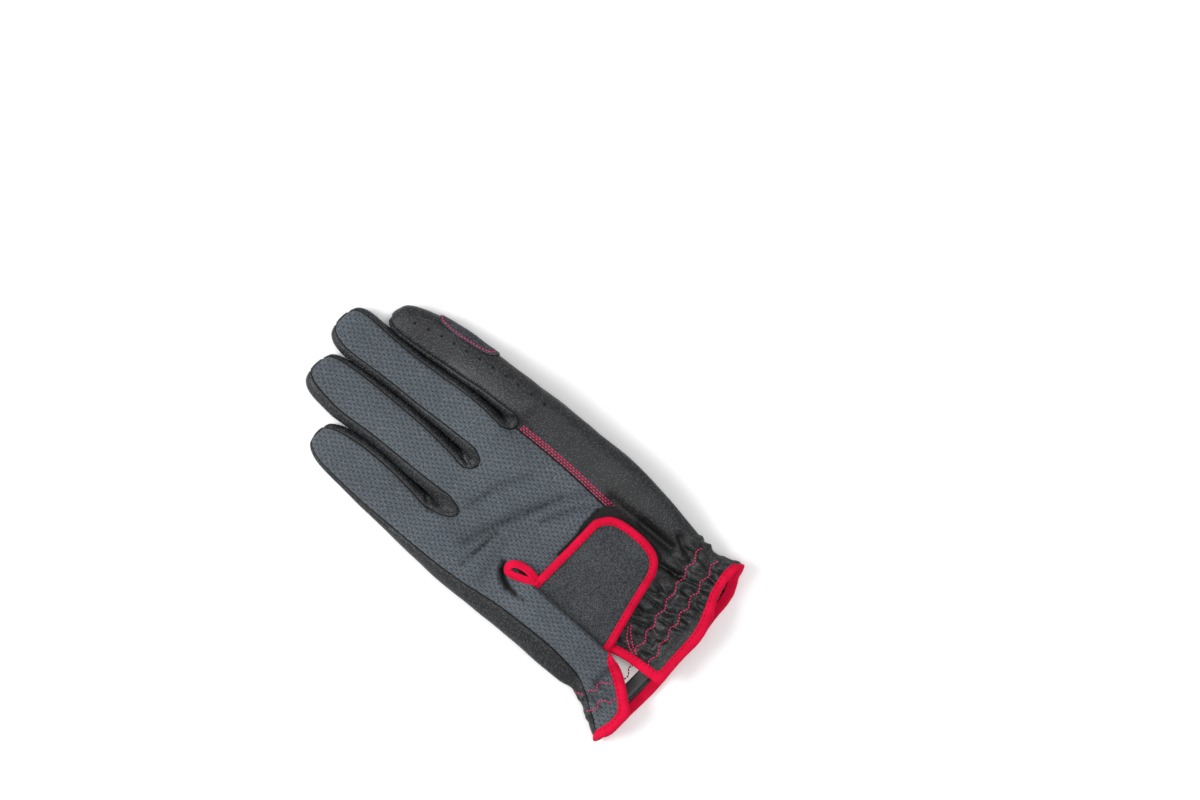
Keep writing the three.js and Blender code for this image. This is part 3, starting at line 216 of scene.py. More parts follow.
# The lines between the fingers, in half palm widths, up the middle finger's length
FINGER_LINES = table(
    "along ulnar little_ring ring_middle middle_index radial",
    (0, -1.046, -0.532, -0.018, 0.473, 0.923),
    (0.2, -1.046, -0.541, -0.028, 0.459, 0.862),
    (0.4, -1.046, -0.556, -0.059, 0.404, 0.808),
    (0.6, -1.04, -0.62, -0.105, 0.337, 0.735),
    (0.7, -1.03, -0.652, -0.132, 0.312, 0.672),
    (0.8, -1.03, -0.652, -0.165, 0.294, 0.6),
    (0.88, -1.03, -0.652, -0.187, 0.284, 0.56),
)
# The little, ring, middle and index finger: insets at the base, middle and tip, starts across the width
FINGERS = table(
    "length left right left_inset right_inset round thick lifted patch_rise back_start palm_start",
    (LITTLE_LENGTH, "ulnar", "little_ring", (0.085, 0.04, 0.015), (0.092, 0.073, 0.07),
     0.2, 0.88, 0, 0, (0.08, 0.075, 0.064, 0.046), (0.13, 0.16, 0.17, 0.155)),
    (RING_LENGTH, "little_ring", "ring_middle", (0.125, 0.08, 0.12), (0.105, 0.073, 0.03),
     0.14, 0.98, 0.3, 0, (0.004, 0.018, 0.034, 0.046), (0.155, 0.175, 0.185, 0.175)),
    (MIDDLE_LENGTH, "ring_middle", "middle_index", (0.097, 0.06, 0.08), (0.073, 0.073, 0.04),
     0.14, 1, 1, 0, (0.064, 0.066, 0.06, 0.046), (0.175, 0.185, 0.18, 0.16)),
    (INDEX_LENGTH, "middle_index", "radial", (0.077, 0.046, 0.02), (0.09, 0.09, 0.09),
     0.12, 0.98, 1, PATCH_THICKNESS + 2 * SEAM_GAP,
     (0.042, 0.034, 0.024, 0.012), (0.16, 0.175, 0.165, 0.13)),
)
LITTLE, INDEX = FINGERS[0], FINGERS[-1]
# The cloth between two fingers, across the gap
BACK_WEBS = [
    table(
        "across start height",
        (0.08, 0.008, 0.68), (0.32, -0.042, 0.66), (0.62, -0.072, 0.65),
        (0.88, -0.069, 0.65), (1, -0.031, 0.67),
    ),
    table("across start height", (0.14, 0.019, 0.8), (0.5, 0.005, 0.78), (0.86, 0.015, 0.8)),
    table("across start height", (0.14, 0.019, 0.86), (0.48, 0.004, 0.84), (0.8, 0.008, 0.86)),
]
PALM_WEBS = (0.122, 0.138, 0.124)
# How far the thumb below lifts the palm, in shares of its height
LIFTS = table(
    "along lift",
    (0.06, 0), (0.19, 0.35), (0.3, 0.88), (0.46, 1), (0.8, 1), (0.94, 0.96),
    (1.04, 0.9), (1.15, 0.76), (1.23, 0.55), (1.31, 0.2), (1.38, 0),
)
# The thumb's middle line, in half palm widths, and its own width, up its length
THUMB_PLAN = table(
    "along centre width",
    (0, 0.21, 0.2), (0.025, 0.215, 0.5), (0.07, 0.22, 0.76), (0.15, 0.23, 0.92), (0.27, 0.24, 1),
    (0.4, 0.26, 1), (0.52, 0.31, 0.92), (0.62, 0.39, 0.78), (0.72, 0.49, 0.62), (0.82, 0.58, 0.5),
    (0.91, 0.64, 0.44), (0.96, 0.655, 0.36), (0.985, 0.66, 0.25), (1, 0.66, 0.12),
)
THUMB_START = 0.2385 * PALM_LENGTH


# Lines and heights of the hand
def hand_at(y, column):
    return read(HAND, "along", y / PALM_LENGTH, column)


def hem_y(x, face):
    return PALM_LENGTH * read(HEM, "across", x / HALF, face)


def vent_x(y):
    return HALF * read(VENT_LINE, "along", y / PALM_LENGTH, "across")


def lift(y):
    return THUMB_HEIGHT * read(LIFTS, "along", y / PALM_LENGTH, "lift")


def thumb_at(y):
    along = (y - THUMB_START) / THUMB_LENGTH
    centre = HALF * read(THUMB_PLAN, "along", along, "centre")
    return centre, THUMB_WIDTH / 2 * read(THUMB_PLAN, "along", along, "width")


def bulge(place, power):
    return (1 - clamp(abs(place), 0, 1) ** power) ** (1 / power)


def arch(share):
    return 1 - (2 * share - 1) ** 2


HAND_POWER = 4
FINGER_POWER = 2.5
CREST_LEAN = (0.9, 1.04)


def hand_share(x, y):
    low, high = HALF * hand_at(y, "ulnar"), HALF * hand_at(y, "radial")
    return clamp((x - low) / (high - low), 0, 1)


def edge_height(share, y):
    return HAND_THICKNESS * mix(hand_at(y, "ulnar_edge"), hand_at(y, "radial_edge"), share)


def crest_height(share, y):
    return HAND_THICKNESS * hand_at(y, "crest") * mix(*CREST_LEAN, share)


def back_height(x, y):
    share = hand_share(x, y)
    edge = edge_height(share, y)
    return edge + (crest_height(share, y) - edge) * bulge(2 * share - 1, HAND_POWER)


HEM_CLEAR = 0.1
HEM_FLAT = TAPE_DEPTH + 2
HEM_SLOPE = 8
PALM_SLOPE = 16
THUMB_CLEAR = 1


def hem_rise(x, y):
    """How far the hem's tape keeps the palm off the table."""
    past = y - hem_y(x, "palm")
    return (HEM_CLEAR + SEAM_GAP + TAPE_WALL) * (1 - ease((past - HEM_FLAT) / HEM_SLOPE))


def palm_height(x, y):
    share = hand_share(x, y)
    edge = edge_height(share, y)
    centre, reach = thumb_at(y)
    slope_end = centre - reach - THUMB_CLEAR
    raised = lift(y) * ease((x - slope_end) / PALM_SLOPE + 1) + hem_rise(x, y)
    return edge - (edge - raised) * bulge(2 * share - 1, HAND_POWER)


# The skin: one closed surface of shared points, each face named for the panel that it belongs to
POINTS_ACROSS = 7
WEB_POINTS = tuple(len(web) for web in BACK_WEBS)
SIDE_CELLS = 4
VENT_COLUMN = POINTS_ACROSS + WEB_POINTS[0]
TRIPLE_COLUMN = 3 * POINTS_ACROSS + WEB_POINTS[0] + WEB_POINTS[1] + 1
CUFF_SHARE = 0.37
VENT_TOP_SHARE = 0.235
COARSE_ROWS = (
    0, 0.042, 0.09, 0.145, 0.195, VENT_TOP_SHARE, 0.29, CUFF_SHARE,
    0.46, 0.55, 0.64, 0.71, 0.78, 0.85, 0.925, 1,
)
COARSE_STEPS = (0, 0.12, 0.25, 0.4, 0.55, 0.7, 0.83, 0.92, 0.97, 1)


def halved(steps):
    """The steps with one more half way between each two."""
    return [value for a, b in zip(steps, steps[1:]) for value in (a, (a + b) / 2)] + [steps[-1]]


ROW_SHARES = halved(COARSE_ROWS)
FINGER_SHARES = halved(COARSE_STEPS)
VENT_ROW = ROW_SHARES.index(VENT_TOP_SHARE)
CUFF_ROW = ROW_SHARES.index(CUFF_SHARE)
SIDE_SHARES = [(j + 1) / SIDE_CELLS for j in range(SIDE_CELLS - 1)]
PANELS = [
    "back_panel", "leather_back", "palm_panel",
    "fourchette_ring_little", "fourchette_middle_ring", "fourchette_index_middle",
]
GUSSETS = PANELS[3:]
FINGER_GAP = -0.9
FINGER_TAPER = (1.06, 0.84)
INSET_MIDDLE = 0.45
CROTCH_GAP = 1.6
CROTCH_RUN = 0.35
WEB_RISE = 2.5
PALM_SEAM_SHARE = 0.66
TIP_WIDTH = 0.32
TIP_HEIGHT = 0.4
TIP_FULLNESS = 0.8
TIP_POWER = 2.3
TIP_BULGE = 0.5


def section_place(section, angle, direction=1):
    """A place on a section's outline, at an angle up from its edge."""
    out, rise = squared(angle, section["power"])
    height = section["edge"] + rise * (section["up"] if rise > 0 else section["down"])
    return section["centre"] + direction * section["reach"] * out, height


def side_point(section, direction, share):
    """A point on the side of a section, from its back corner round its edge to its palm corner."""
    def angle_of(x):
        across = clamp(abs((x - section["centre"]) / section["reach"]), 0, 1)
        return math.acos(across ** (section["power"] / 2))

    angle = mix(angle_of(section["back_at"]), -angle_of(section["palm_at"]), share)
    return section_place(section, angle, direction)


def finger_section(finger, y):
    """A finger's section: where it lies, how far it goes out, up and down, and where its seams are."""
    past = y - PALM_LENGTH
    own = clamp(past / finger["length"], 0, 1)
    apart = FINGER_GAP / 2 + CROTCH_GAP * max(0, 1 - own / CROTCH_RUN) ** 2
    low = HALF * read(FINGER_LINES, "along", past / MIDDLE_LENGTH, finger["left"]) + apart
    high = HALF * read(FINGER_LINES, "along", past / MIDDLE_LENGTH, finger["right"]) - apart

    def inset(three):
        base, middle, tip = three
        if own < INSET_MIDDLE:
            return HALF * mix(base, middle, own / INSET_MIDDLE)
        return HALF * mix(middle, tip, (own - INSET_MIDDLE) / (1 - INSET_MIDDLE))

    centre = (low + high) / 2
    end = bulge(max(0, (own - 1 + finger["round"]) / finger["round"]), TIP_POWER)
    narrow = mix(TIP_WIDTH, 1, end)
    flat = mix(TIP_HEIGHT, 1, end)
    rest = finger["patch_rise"] + finger["lifted"] * lift(y)
    rise = FINGER_THICKNESS * finger["thick"] * mix(*FINGER_TAPER, own) / 2
    full = mix(TIP_FULLNESS, 1, end)
    return {
        "centre": centre,
        "reach": (high - low) / 2 * narrow,
        "edge": rest + rise * full,
        "up": rise * flat,
        "down": rise * full * flat,
        "power": FINGER_POWER,
        "back_low": centre + (low + inset(finger["left_inset"]) - centre) * narrow,
        "back_high": centre + (high - inset(finger["right_inset"]) - centre) * narrow,
        "palm_low": centre - (high - low) / 2 * PALM_SEAM_SHARE * narrow,
        "palm_high": centre + (high - low) / 2 * PALM_SEAM_SHARE * narrow,
    }


def finger_face(face, finger, y, share):
    """A point on a finger's back or palm."""
    section = finger_section(finger, y)
    x = mix(section[face + "_low"], section[face + "_high"], share)
    reach = bulge((x - section["centre"]) / section["reach"], section["power"])
    height = section["up"] * reach if face == "back" else -section["down"] * reach
    return Vector((x, y, section["edge"] + height))


def finger_side(finger, direction, back_y, palm_y, share):
    """A point on a finger's side, between its back and its palm."""
    y = mix(back_y, palm_y, share)
    section = finger_section(finger, y)
    end = "_high" if direction > 0 else "_low"
    section["back_at"] = section["back" + end]
    section["palm_at"] = section["palm" + end]
    x, z = side_point(section, direction, share)
    return Vector((x, y, z))


def start_y(finger, face, share):
    """Where a finger's own cloth starts, across its width."""
    starts = finger[face + "_start"]
    place = share * (len(starts) - 1)
    k = min(int(place), len(starts) - 2)
    return PALM_LENGTH * (1 + mix(starts[k], starts[k + 1], place - k))


def knuckle_row(face):
    """The points where the hand ends: along the fingers' roots and the webs between them."""
    row = []
    for f, finger in enumerate(FINGERS):
        row += [finger_face(face, finger, start_y(finger, face, s), s) for s in shares(POINTS_ACROSS)]
        if f == len(FINGERS) - 1:
            return row
        start = row[-1]
        follower = FINGERS[f + 1]
        end = finger_face(face, follower, start_y(follower, face, 0), 0)
        for k in range(WEB_POINTS[f]):
            web = BACK_WEBS[f][k]
            share = (k + 1) / (WEB_POINTS[f] + 1)
            if face == "back":
                x = mix(start.x, end.x, web["across"])
                row.append(Vector((x, PALM_LENGTH * (1 + web["start"]), HAND_THICKNESS * web["height"])))
            else:
                y = mix(mix(start.y, end.y, share), PALM_LENGTH * (1 + PALM_WEBS[f]), arch(share))
                row.append(Vector((mix(start.x, end.x, share), y, mix(start.z, end.z, share))))


KNUCKLES = {"back": knuckle_row("back"), "palm": knuckle_row("palm")}
COLUMNS = len(KNUCKLES["back"])
SIDE_INSET = 5.5
HEM_SAMPLE = -0.05
BLEND_START = 0.72
SPREAD_SHARE = 0.75


def column_place(face, column, y, t):
    """Where a column of the hand runs: on the back along the seams, on the palm evenly."""
    if face == "back":
        keys = [
            (0, HALF * hand_at(y, "seam")),
            (VENT_COLUMN, vent_x(y)),
            (TRIPLE_COLUMN, HALF * hand_at(y, "triple")),
            (COLUMNS - 1, HALF * hand_at(y, "radial") - SIDE_INSET),
        ]
    else:
        keys = [
            (0, HALF * hand_at(y, "ulnar") + SIDE_INSET),
            (COLUMNS - 1, HALF * hand_at(y, "radial") - SIDE_INSET),
        ]
    k = 0
    while column > keys[k + 1][0]:
        k += 1
    (first, from_x), (last, to_x) = keys[k], keys[k + 1]
    even = (column - first) / (last - first)
    row = KNUCKLES[face]
    spread = (row[column].x - row[first].x) / (row[last].x - row[first].x)
    return mix(from_x, to_x, mix(even, spread, SPREAD_SHARE * ease(t)))


def column_y(face, column, t):
    start = hem_y(column_place(face, column, HEM_SAMPLE * PALM_LENGTH, 0), face)
    return mix(start, KNUCKLES[face][column].y, t)


def knuckle_blend(t):
    return ease((t - BLEND_START) / (1 - BLEND_START))


def hand_point(face, column, t):
    y = column_y(face, column, t)
    x = column_place(face, column, y, t)
    height = back_height(x, y) if face == "back" else palm_height(x, y)
    return Vector((x, y, height)).lerp(KNUCKLES[face][column], knuckle_blend(t))


def hand_side(direction, t, share, knuckle_side):
    """A point on a side of the hand, between its back and its palm."""
    column = COLUMNS - 1 if direction > 0 else 0
    back_y, palm_y = column_y("back", column, t), column_y("palm", column, t)
    y = mix(back_y, palm_y, share)
    low, high = HALF * hand_at(y, "ulnar"), HALF * hand_at(y, "radial")
    edge_share = 1 if direction > 0 else 0
    edge = edge_height(edge_share, y)
    raised = (lift(y) if direction > 0 else 0) + hem_rise(direction * HALF, y)
    section = {
        "centre": (low + high) / 2,
        "reach": (high - low) / 2,
        "edge": edge,
        "up": crest_height(edge_share, y) - edge,
        "down": edge - raised,
        "power": HAND_POWER,
        "back_at": column_place("back", column, back_y, t),
        "palm_at": column_place("palm", column, palm_y, t),
    }
    x, z = side_point(section, direction, share)
    return Vector((x, y, z)).lerp(knuckle_side, knuckle_blend(t))


def vent_point(side, t):
    y = column_y("back", VENT_COLUMN, t)
    x = vent_x(y) + VENT_WIDTH * read(VENT, "up", y / VENT_DEPTH, side)
    return Vector((x, y, back_height(x, y)))


class Skin:
    """The coarse points and faces of the glove, and the panel of each face."""

    def __init__(self):
        self.points = []
        self.faces = []
        self.panels = []

    def point(self, place):
        self.points.append(place)
        return len(self.points) - 1

    def face(self, panel, *corners):
        self.faces.append(corners)
        self.panels.append(PANELS.index(panel))

    def cell(self, panel, low, high, k, turned=False):
        """The face between two rows of points, from their point k to the next one."""
        a, b = (k + 1, k) if turned else (k, k + 1)
        self.face(panel, low[a], low[b], high[b], high[a])


def hand_stations(skin):
    """Closed loops of points from the hem to the knuckles."""
    knuckle_sides = {}
    for direction, finger, end in ((-1, LITTLE, 0), (1, INDEX, -1)):
        heights = KNUCKLES["back"][end].y, KNUCKLES["palm"][end].y
        knuckle_sides[direction] = [finger_side(finger, direction, *heights, s) for s in SIDE_SHARES]
    stations = []
    for row, t in enumerate(ROW_SHARES):
        back = [skin.point(hand_point("back", column, t)) for column in range(COLUMNS)]
        palm = [skin.point(hand_point("palm", column, t)) for column in range(COLUMNS)]
        sides = {}
        for direction in (-1, 1):
            places = zip(SIDE_SHARES, knuckle_sides[direction])
            inner = [skin.point(hand_side(direction, t, share, end)) for share, end in places]
            corner = COLUMNS - 1 if direction > 0 else 0
            sides[direction] = [back[corner], *inner, palm[corner]]
        open_row = row < VENT_ROW
        vent_left = skin.point(vent_point("left", t)) if open_row else back[VENT_COLUMN]
        vent_right = skin.point(vent_point("right", t)) if open_row else back[VENT_COLUMN]
        if open_row:
            for seam, edge in ((0, vent_left), (TRIPLE_COLUMN, vent_right)):
                seam_x, edge_x = skin.points[back[seam]].x, skin.points[edge].x
                step = 1 if seam < VENT_COLUMN else -1
                for column in range(seam + step, VENT_COLUMN, step):
                    place = skin.points[back[column]]
                    place.x = mix(seam_x, edge_x, (column - seam) / (VENT_COLUMN - seam))
                    place.z = back_height(place.x, place.y)
        stations.append({
            "back": back, "palm": palm, "left": sides[-1], "right": sides[1],
            "vent_left": vent_left, "vent_right": vent_right,
        })
    return stations


def back_panel_of(row, column):
    if column < VENT_COLUMN:
        return "back_panel"
    if column >= TRIPLE_COLUMN or row < CUFF_ROW:
        return "leather_back"
    return "back_panel"


def thumb_side_panel(j):
    """The seam between the two leathers runs half way down the thumb's side."""
    return "leather_back" if j < SIDE_CELLS / 2 else "palm_panel"


def skin_hand(skin, stations):
    for row, (station, after) in enumerate(zip(stations, stations[1:])):
        for column in range(COLUMNS - 1):
            right_key = "vent_left" if column + 1 == VENT_COLUMN else None
            left_key = "vent_right" if column == VENT_COLUMN else None
            right = [s[right_key] if right_key else s["back"][column + 1] for s in (station, after)]
            left = [s[left_key] if left_key else s["back"][column] for s in (station, after)]
            skin.face(back_panel_of(row, column), left[0], right[0], right[1], left[1])
            skin.cell("palm_panel", station["palm"], after["palm"], column, turned=True)
        for j in range(SIDE_CELLS):
            skin.cell(thumb_side_panel(j), station["right"], after["right"], j)
            skin.cell("palm_panel", station["left"], after["left"], j, turned=True)


def finger_start(f):
    """The first column of a finger in the knuckle row."""
    return f * POINTS_ACROSS + sum(WEB_POINTS[:f])


def skin_fingers(skin, stations):
    knuckle = stations[-1]
    all_loops = []
    for f, finger in enumerate(FINGERS):
        first = finger_start(f)
        tip_y = PALM_LENGTH + finger["length"]
        loops = []
        for i, t in enumerate(FINGER_SHARES):
            rows = {}
            for face in ("back", "palm"):
                if i == 0:
                    rows[face] = knuckle[face][first:first + POINTS_ACROSS]
                    continue
                rows[face] = [
                    skin.point(finger_face(face, finger, mix(start_y(finger, face, s), tip_y, t), s))
                    for s in shares(POINTS_ACROSS)
                ]
            for direction, name in ((-1, "left"), (1, "right")):
                if i == 0 and (finger is LITTLE and direction < 0 or finger is INDEX and direction > 0):
                    rows[name] = knuckle[name]
                    continue
                corner = 0 if direction < 0 else 1
                back_y = mix(start_y(finger, "back", corner), tip_y, t)
                palm_y = mix(start_y(finger, "palm", corner), tip_y, t)
                inner = [skin.point(finger_side(finger, direction, back_y, palm_y, s)) for s in SIDE_SHARES]
                rows[name] = [rows["back"][-corner], *inner, rows["palm"][-corner]]
            loops.append(rows)
        all_loops.append(loops)
        back = "leather_back" if finger is INDEX else "back_panel"
        left = "palm_panel" if finger is LITTLE else GUSSETS[f - 1]
        for low, high in zip(loops, loops[1:]):
            for k in range(POINTS_ACROSS - 1):
                skin.cell(back, low["back"], high["back"], k)
                skin.cell("palm_panel", low["palm"], high["palm"], k, turned=True)
            for j in range(SIDE_CELLS):
                right = thumb_side_panel(j) if finger is INDEX else GUSSETS[f]
                skin.cell(right, low["right"], high["right"], j)
                skin.cell(left, low["left"], high["left"], j, turned=True)
        close_tip(skin, loops[-1])
    return all_loops


def close_tip(skin, tip):
    """Closes a fingertip with a grid between its back, its palm and its two sides."""
    rows = [tip["back"]]
    for j in range(1, SIDE_CELLS):
        left, right = skin.points[tip["left"][j]], skin.points[tip["right"][j]]
        inner = []
        for share in shares(POINTS_ACROSS)[1:-1]:
            place = left.lerp(right, share)
            place.y += TIP_BULGE * arch(share) * math.sin(math.pi * j / SIDE_CELLS)
            inner.append(skin.point(place))
        rows.append([tip["left"][j], *inner, tip["right"][j]])
    rows.append(tip["palm"])
    for low, high in zip(rows, rows[1:]):
        for k in range(POINTS_ACROSS - 1):
            skin.cell("palm_panel", low, high, k)


def skin_crotches(skin, stations, loops):
    """Each gusset turns round from one finger's side to the next one's."""
    for f, gusset in enumerate(GUSSETS):
        start, end = loops[f][0]["right"], loops[f + 1][0]["left"]
        first = finger_start(f) + POINTS_ACROSS
        strips = [start]
        for k in range(WEB_POINTS[f]):
            top, bottom = stations[-1]["back"][first + k], stations[-1]["palm"][first + k]
            across = (k + 1) / (WEB_POINTS[f] + 1)
            between = [skin.points[a].lerp(skin.points[b], across) for a, b in zip(start, end)]
            top_dip = between[0].y - skin.points[top].y
            bottom_dip = between[-1].y - skin.points[bottom].y
            inner = []
            for share, place in zip(SIDE_SHARES, between[1:]):
                place.y -= mix(top_dip, bottom_dip, share)
                place.z += WEB_RISE * math.sin(math.pi * share) * math.sin(math.pi * across)
                inner.append(skin.point(place))
            strips.append([top, *inner, bottom])
        strips.append(end)
        for low, high in zip(strips, strips[1:]):
            for j in range(SIDE_CELLS):
                skin.face(gusset, low[j], high[j], high[j + 1], low[j + 1])


def make_skin():
    skin = Skin()
    stations = hand_stations(skin)
    skin_hand(skin, stations)
    loops = skin_fingers(skin, stations)
    skin_crotches(skin, stations, loops)
    return skin


# Meshes
def to_frame(place):
    return (Vector(place) + OFFSET) * MM


def glove_places(mesh):
    """A mesh's places in the glove's own measures."""
    return [corner.co / MM - OFFSET for corner in mesh.vertices]


def put_in_scene(name, data):
    item = bpy.data.objects.new(name, data)
    bpy.context.collection.objects.link(item)
    return item


def values_of(items, key, width=1, kind=float):
    """One value of every item in a mesh, as an array with width numbers to a row."""
    values = np.empty(len(items) * width, dtype=kind)
    items.foreach_get(key, values)
    return values.reshape(-1, width) if width > 1 else values


def mesh_normals(places, polygons):
    mesh = bpy.data.meshes.new("normals")
    mesh.from_pydata(places.tolist(), [], polygons)
    normals = values_of(mesh.vertex_normals, "vector", 3)
    bpy.data.meshes.remove(mesh)
    return normals


def add_piece(name, places, polygons, material, nodes=()):
    """Makes a smooth mesh object of places in millimetres, and hides the solids that it stands for."""
    mesh = bpy.data.meshes.new(name)
    mesh.from_pydata([to_frame(place) for place in places], [], polygons)
    mesh.polygons.foreach_set("use_smooth", [True] * len(mesh.polygons))
    mesh.materials.append(material)
    mesh.update()
    piece = put_in_scene(name, mesh)
    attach(piece, "root")
    if nodes:
        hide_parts(*nodes)
    return piece


class Surface:
    """The skin after subdivision: places, normals, quads, and the panel of each quad."""

    def __init__(self, skin, levels):
        mesh = bpy.data.meshes.new("skin")
        mesh.from_pydata([tuple(place) for place in skin.points], [], skin.faces)
        for _ in PANELS:
            mesh.materials.append(None)
        mesh.polygons.foreach_set("material_index", skin.panels)
        holder = put_in_scene("skin", mesh)
        modifier = holder.modifiers.new("smooth", "SUBSURF")
        modifier.levels = levels
        modifier.render_levels = levels
        modifier.boundary_smooth = "PRESERVE_CORNERS"
        evaluated = holder.evaluated_get(bpy.context.evaluated_depsgraph_get())
        fine = bpy.data.meshes.new_from_object(evaluated)
        self.read_mesh(fine)
        bpy.data.objects.remove(holder)
        bpy.data.meshes.remove(mesh)
        bpy.data.meshes.remove(fine)
        self.find_seams()

    def read_mesh(self, mesh):
        self.places = values_of(mesh.vertices, "co", 3)
        self.normals = values_of(mesh.vertex_normals, "vector", 3)
        self.quads = values_of(mesh.loops, "vertex_index", kind=int).reshape(-1, 4)
        self.panels = values_of(mesh.polygons, "material_index", kind=int)

    def edges(self):
        """The start and the end of every edge, quad by quad."""
        return self.quads.reshape(-1), np.roll(self.quads, -1, axis=1).reshape(-1)

    def find_seams(self):
        """Finds the edges between panels and the open rims."""
        starts, ends = self.edges()
        owners = np.repeat(self.panels, 4)
        low, high = np.minimum(starts, ends), np.maximum(starts, ends)
        order = np.lexsort((high, low))
        low, high, owners = low[order], high[order], owners[order]
        same = (low[1:] == low[:-1]) & (high[1:] == high[:-1])
        self.seams = {}
        for i in np.nonzero(same)[0]:
            a, b = sorted((owners[i], owners[i + 1]))
            if a != b:
                self.seams.setdefault((PANELS[a], PANELS[b]), []).append((low[i], high[i]))
        paired = np.zeros(len(low), dtype=bool)
        paired[:-1] |= same
        paired[1:] |= same
        self.rims = list(zip(low[~paired], high[~paired]))

    def tree(self):
        return BVHTree.FromPolygons(self.places.tolist(), self.quads.tolist())

    def renew_normals(self):
        self.normals = mesh_normals(self.places, self.quads.tolist())


def rgb(red, green, blue):
    """A colour given as it looks on screen, from 0 to 255."""
    def linear(value):
        share = value / 255
        return share / 12.92 if share <= 0.04045 else ((share + 0.055) / 1.055) ** 2.4

    return (linear(red), linear(green), linear(blue), 1.0)


# Painted shade for the bottoms of folds and gathers, and the most of it that a colour takes
CREASE_SHADE = rgb(10, 11, 12)
CREASE_SHADE_SHARE = 0.9


class Nodes:
    """A material's node tree, with short ways to add nodes and join them."""

    def __init__(self, name):
        self.material = bpy.data.materials.new(name)
        self.material.use_nodes = True
        self.tree = self.material.node_tree
        self.shader = self.tree.nodes["Principled BSDF"]
        self.place = self.add("ShaderNodeTexCoord").outputs["Object"]

    def add(self, kind, inputs=(), **settings):
        node = self.tree.nodes.new(kind)
        for key, value in settings.items():
            setattr(node, key, value)
        for key, value in dict(inputs).items():
            self.feed(node.inputs[key], value)
        return node

    def feed(self, socket, value):
        if isinstance(value, bpy.types.NodeSocket):
            self.tree.links.new(value, socket)
        else:
            socket.default_value = value

    def maths(self, operation, a, b=0.0, c=0.0):
        node = self.tree.nodes.new("ShaderNodeMath")
        node.operation = operation
        for socket, value in zip(node.inputs, (a, b, c)):
            self.feed(socket, value)
        return node.outputs[0]

    def scaled(self, size, turn=0.0):
        """Object coordinates with one unit to a size in millimetres."""
        scale = 1 / (size * MM)
        inputs = {"Vector": self.place, "Scale": (scale, scale, scale), "Rotation": (0, 0, turn)}
        return self.add("ShaderNodeMapping", inputs).outputs[0]

    def noise(self, size, detail=2.0, roughness=0.5):
        inputs = {"Vector": self.scaled(size), "Scale": 1.0, "Detail": detail, "Roughness": roughness}
        return self.add("ShaderNodeTexNoise", inputs).outputs[0]

    def cells(self, size, randomness=1.0, turn=0.0, feature="F1", flat=False):
        settings = {"feature": feature, "voronoi_dimensions": "2D" if flat else "3D"}
        inputs = {"Vector": self.scaled(size, turn), "Scale": 1.0, "Randomness": randomness}
        return self.add("ShaderNodeTexVoronoi", inputs, **settings).outputs["Distance"]

    def waves(self, rows):
        """The sum of flat waves, which are given in cycles for each millimetre."""
        total = 0.0
        for row in rows:
            turns = (2 * math.pi * row["across"] / MM, 2 * math.pi * row["along"] / MM, 0)
            node = self.add("ShaderNodeVectorMath", {0: self.place, 1: turns}, operation="DOT_PRODUCT")
            total = self.maths("ADD", self.maths("COSINE", node.outputs["Value"]), total)
        return total

    def ramp(self, value, low, high, start=0.0, end=1.0, smooth=True):
        inputs = {"Value": value, "From Min": low, "From Max": high, "To Min": start, "To Max": end}
        kind = "SMOOTHSTEP" if smooth else "LINEAR"
        return self.add("ShaderNodeMapRange", inputs, interpolation_type=kind).outputs[0]

    def blend(self, share, first, second):
        node = self.tree.nodes.new("ShaderNodeMix")
        node.data_type = "RGBA"
        self.feed(node.inputs[0], share)
        self.feed(node.inputs[6], first)
        self.feed(node.inputs[7], second)
        return node.outputs[2]

    def bump(self, height, distance, strength=1.0, below=None):
        inputs = {"Height": height, "Distance": distance * MM, "Strength": strength}
        if below is not None:
            inputs["Normal"] = below
        return self.add("ShaderNodeBump", inputs).outputs[0]

    def crease_shaded(self, colour):
        """Paints shade into a colour in the bottoms of folds, from a share of painted shade which the mesh
        carries as an attribute.
        """
        # the painted shade share of each place
        depth = self.add("ShaderNodeAttribute", attribute_name="painted_crease_shade").outputs["Fac"]
        return self.blend(self.maths("MULTIPLY", depth, CREASE_SHADE_SHARE), colour, CREASE_SHADE)

    def finish(self, **inputs):
        for key, value in inputs.items():
            self.feed(self.shader.inputs[key.replace("_", " ")], value)
        return self.material


# Sizes of textures are in millimetres, and waves in cycles for each millimetre.
MESH_PITCH = 1.35
MESH_TURN = math.radians(20)
MESH_WAVES = table("across along", (0.376, -0.215), (0.356, 0.28), (0.732, 0.065))
MESH_SHADES = (rgb(69, 75, 81), rgb(77, 84, 90))
MESH_HOLE = rgb(40, 44, 49)
YARN_GLINT = rgb(108, 115, 121)
YARN_SIZE = 0.9
PEBBLE_DIP = rgb(20, 21, 22)
PEBBLE_GLINT = rgb(88, 91, 95)
LEATHER_FINE = 0.7
GLOSS_SPREAD = 0.06
WEAVE_SIZE = 0.55
THREAD_TWIST = 0.25
THREAD_SHADE = 0.6
PILE_SHADES = (rgb(4, 4, 5), rgb(17, 18, 19))
PILE_SIZE = 0.5
PLAIN_WEAVE_SIZE = 0.5


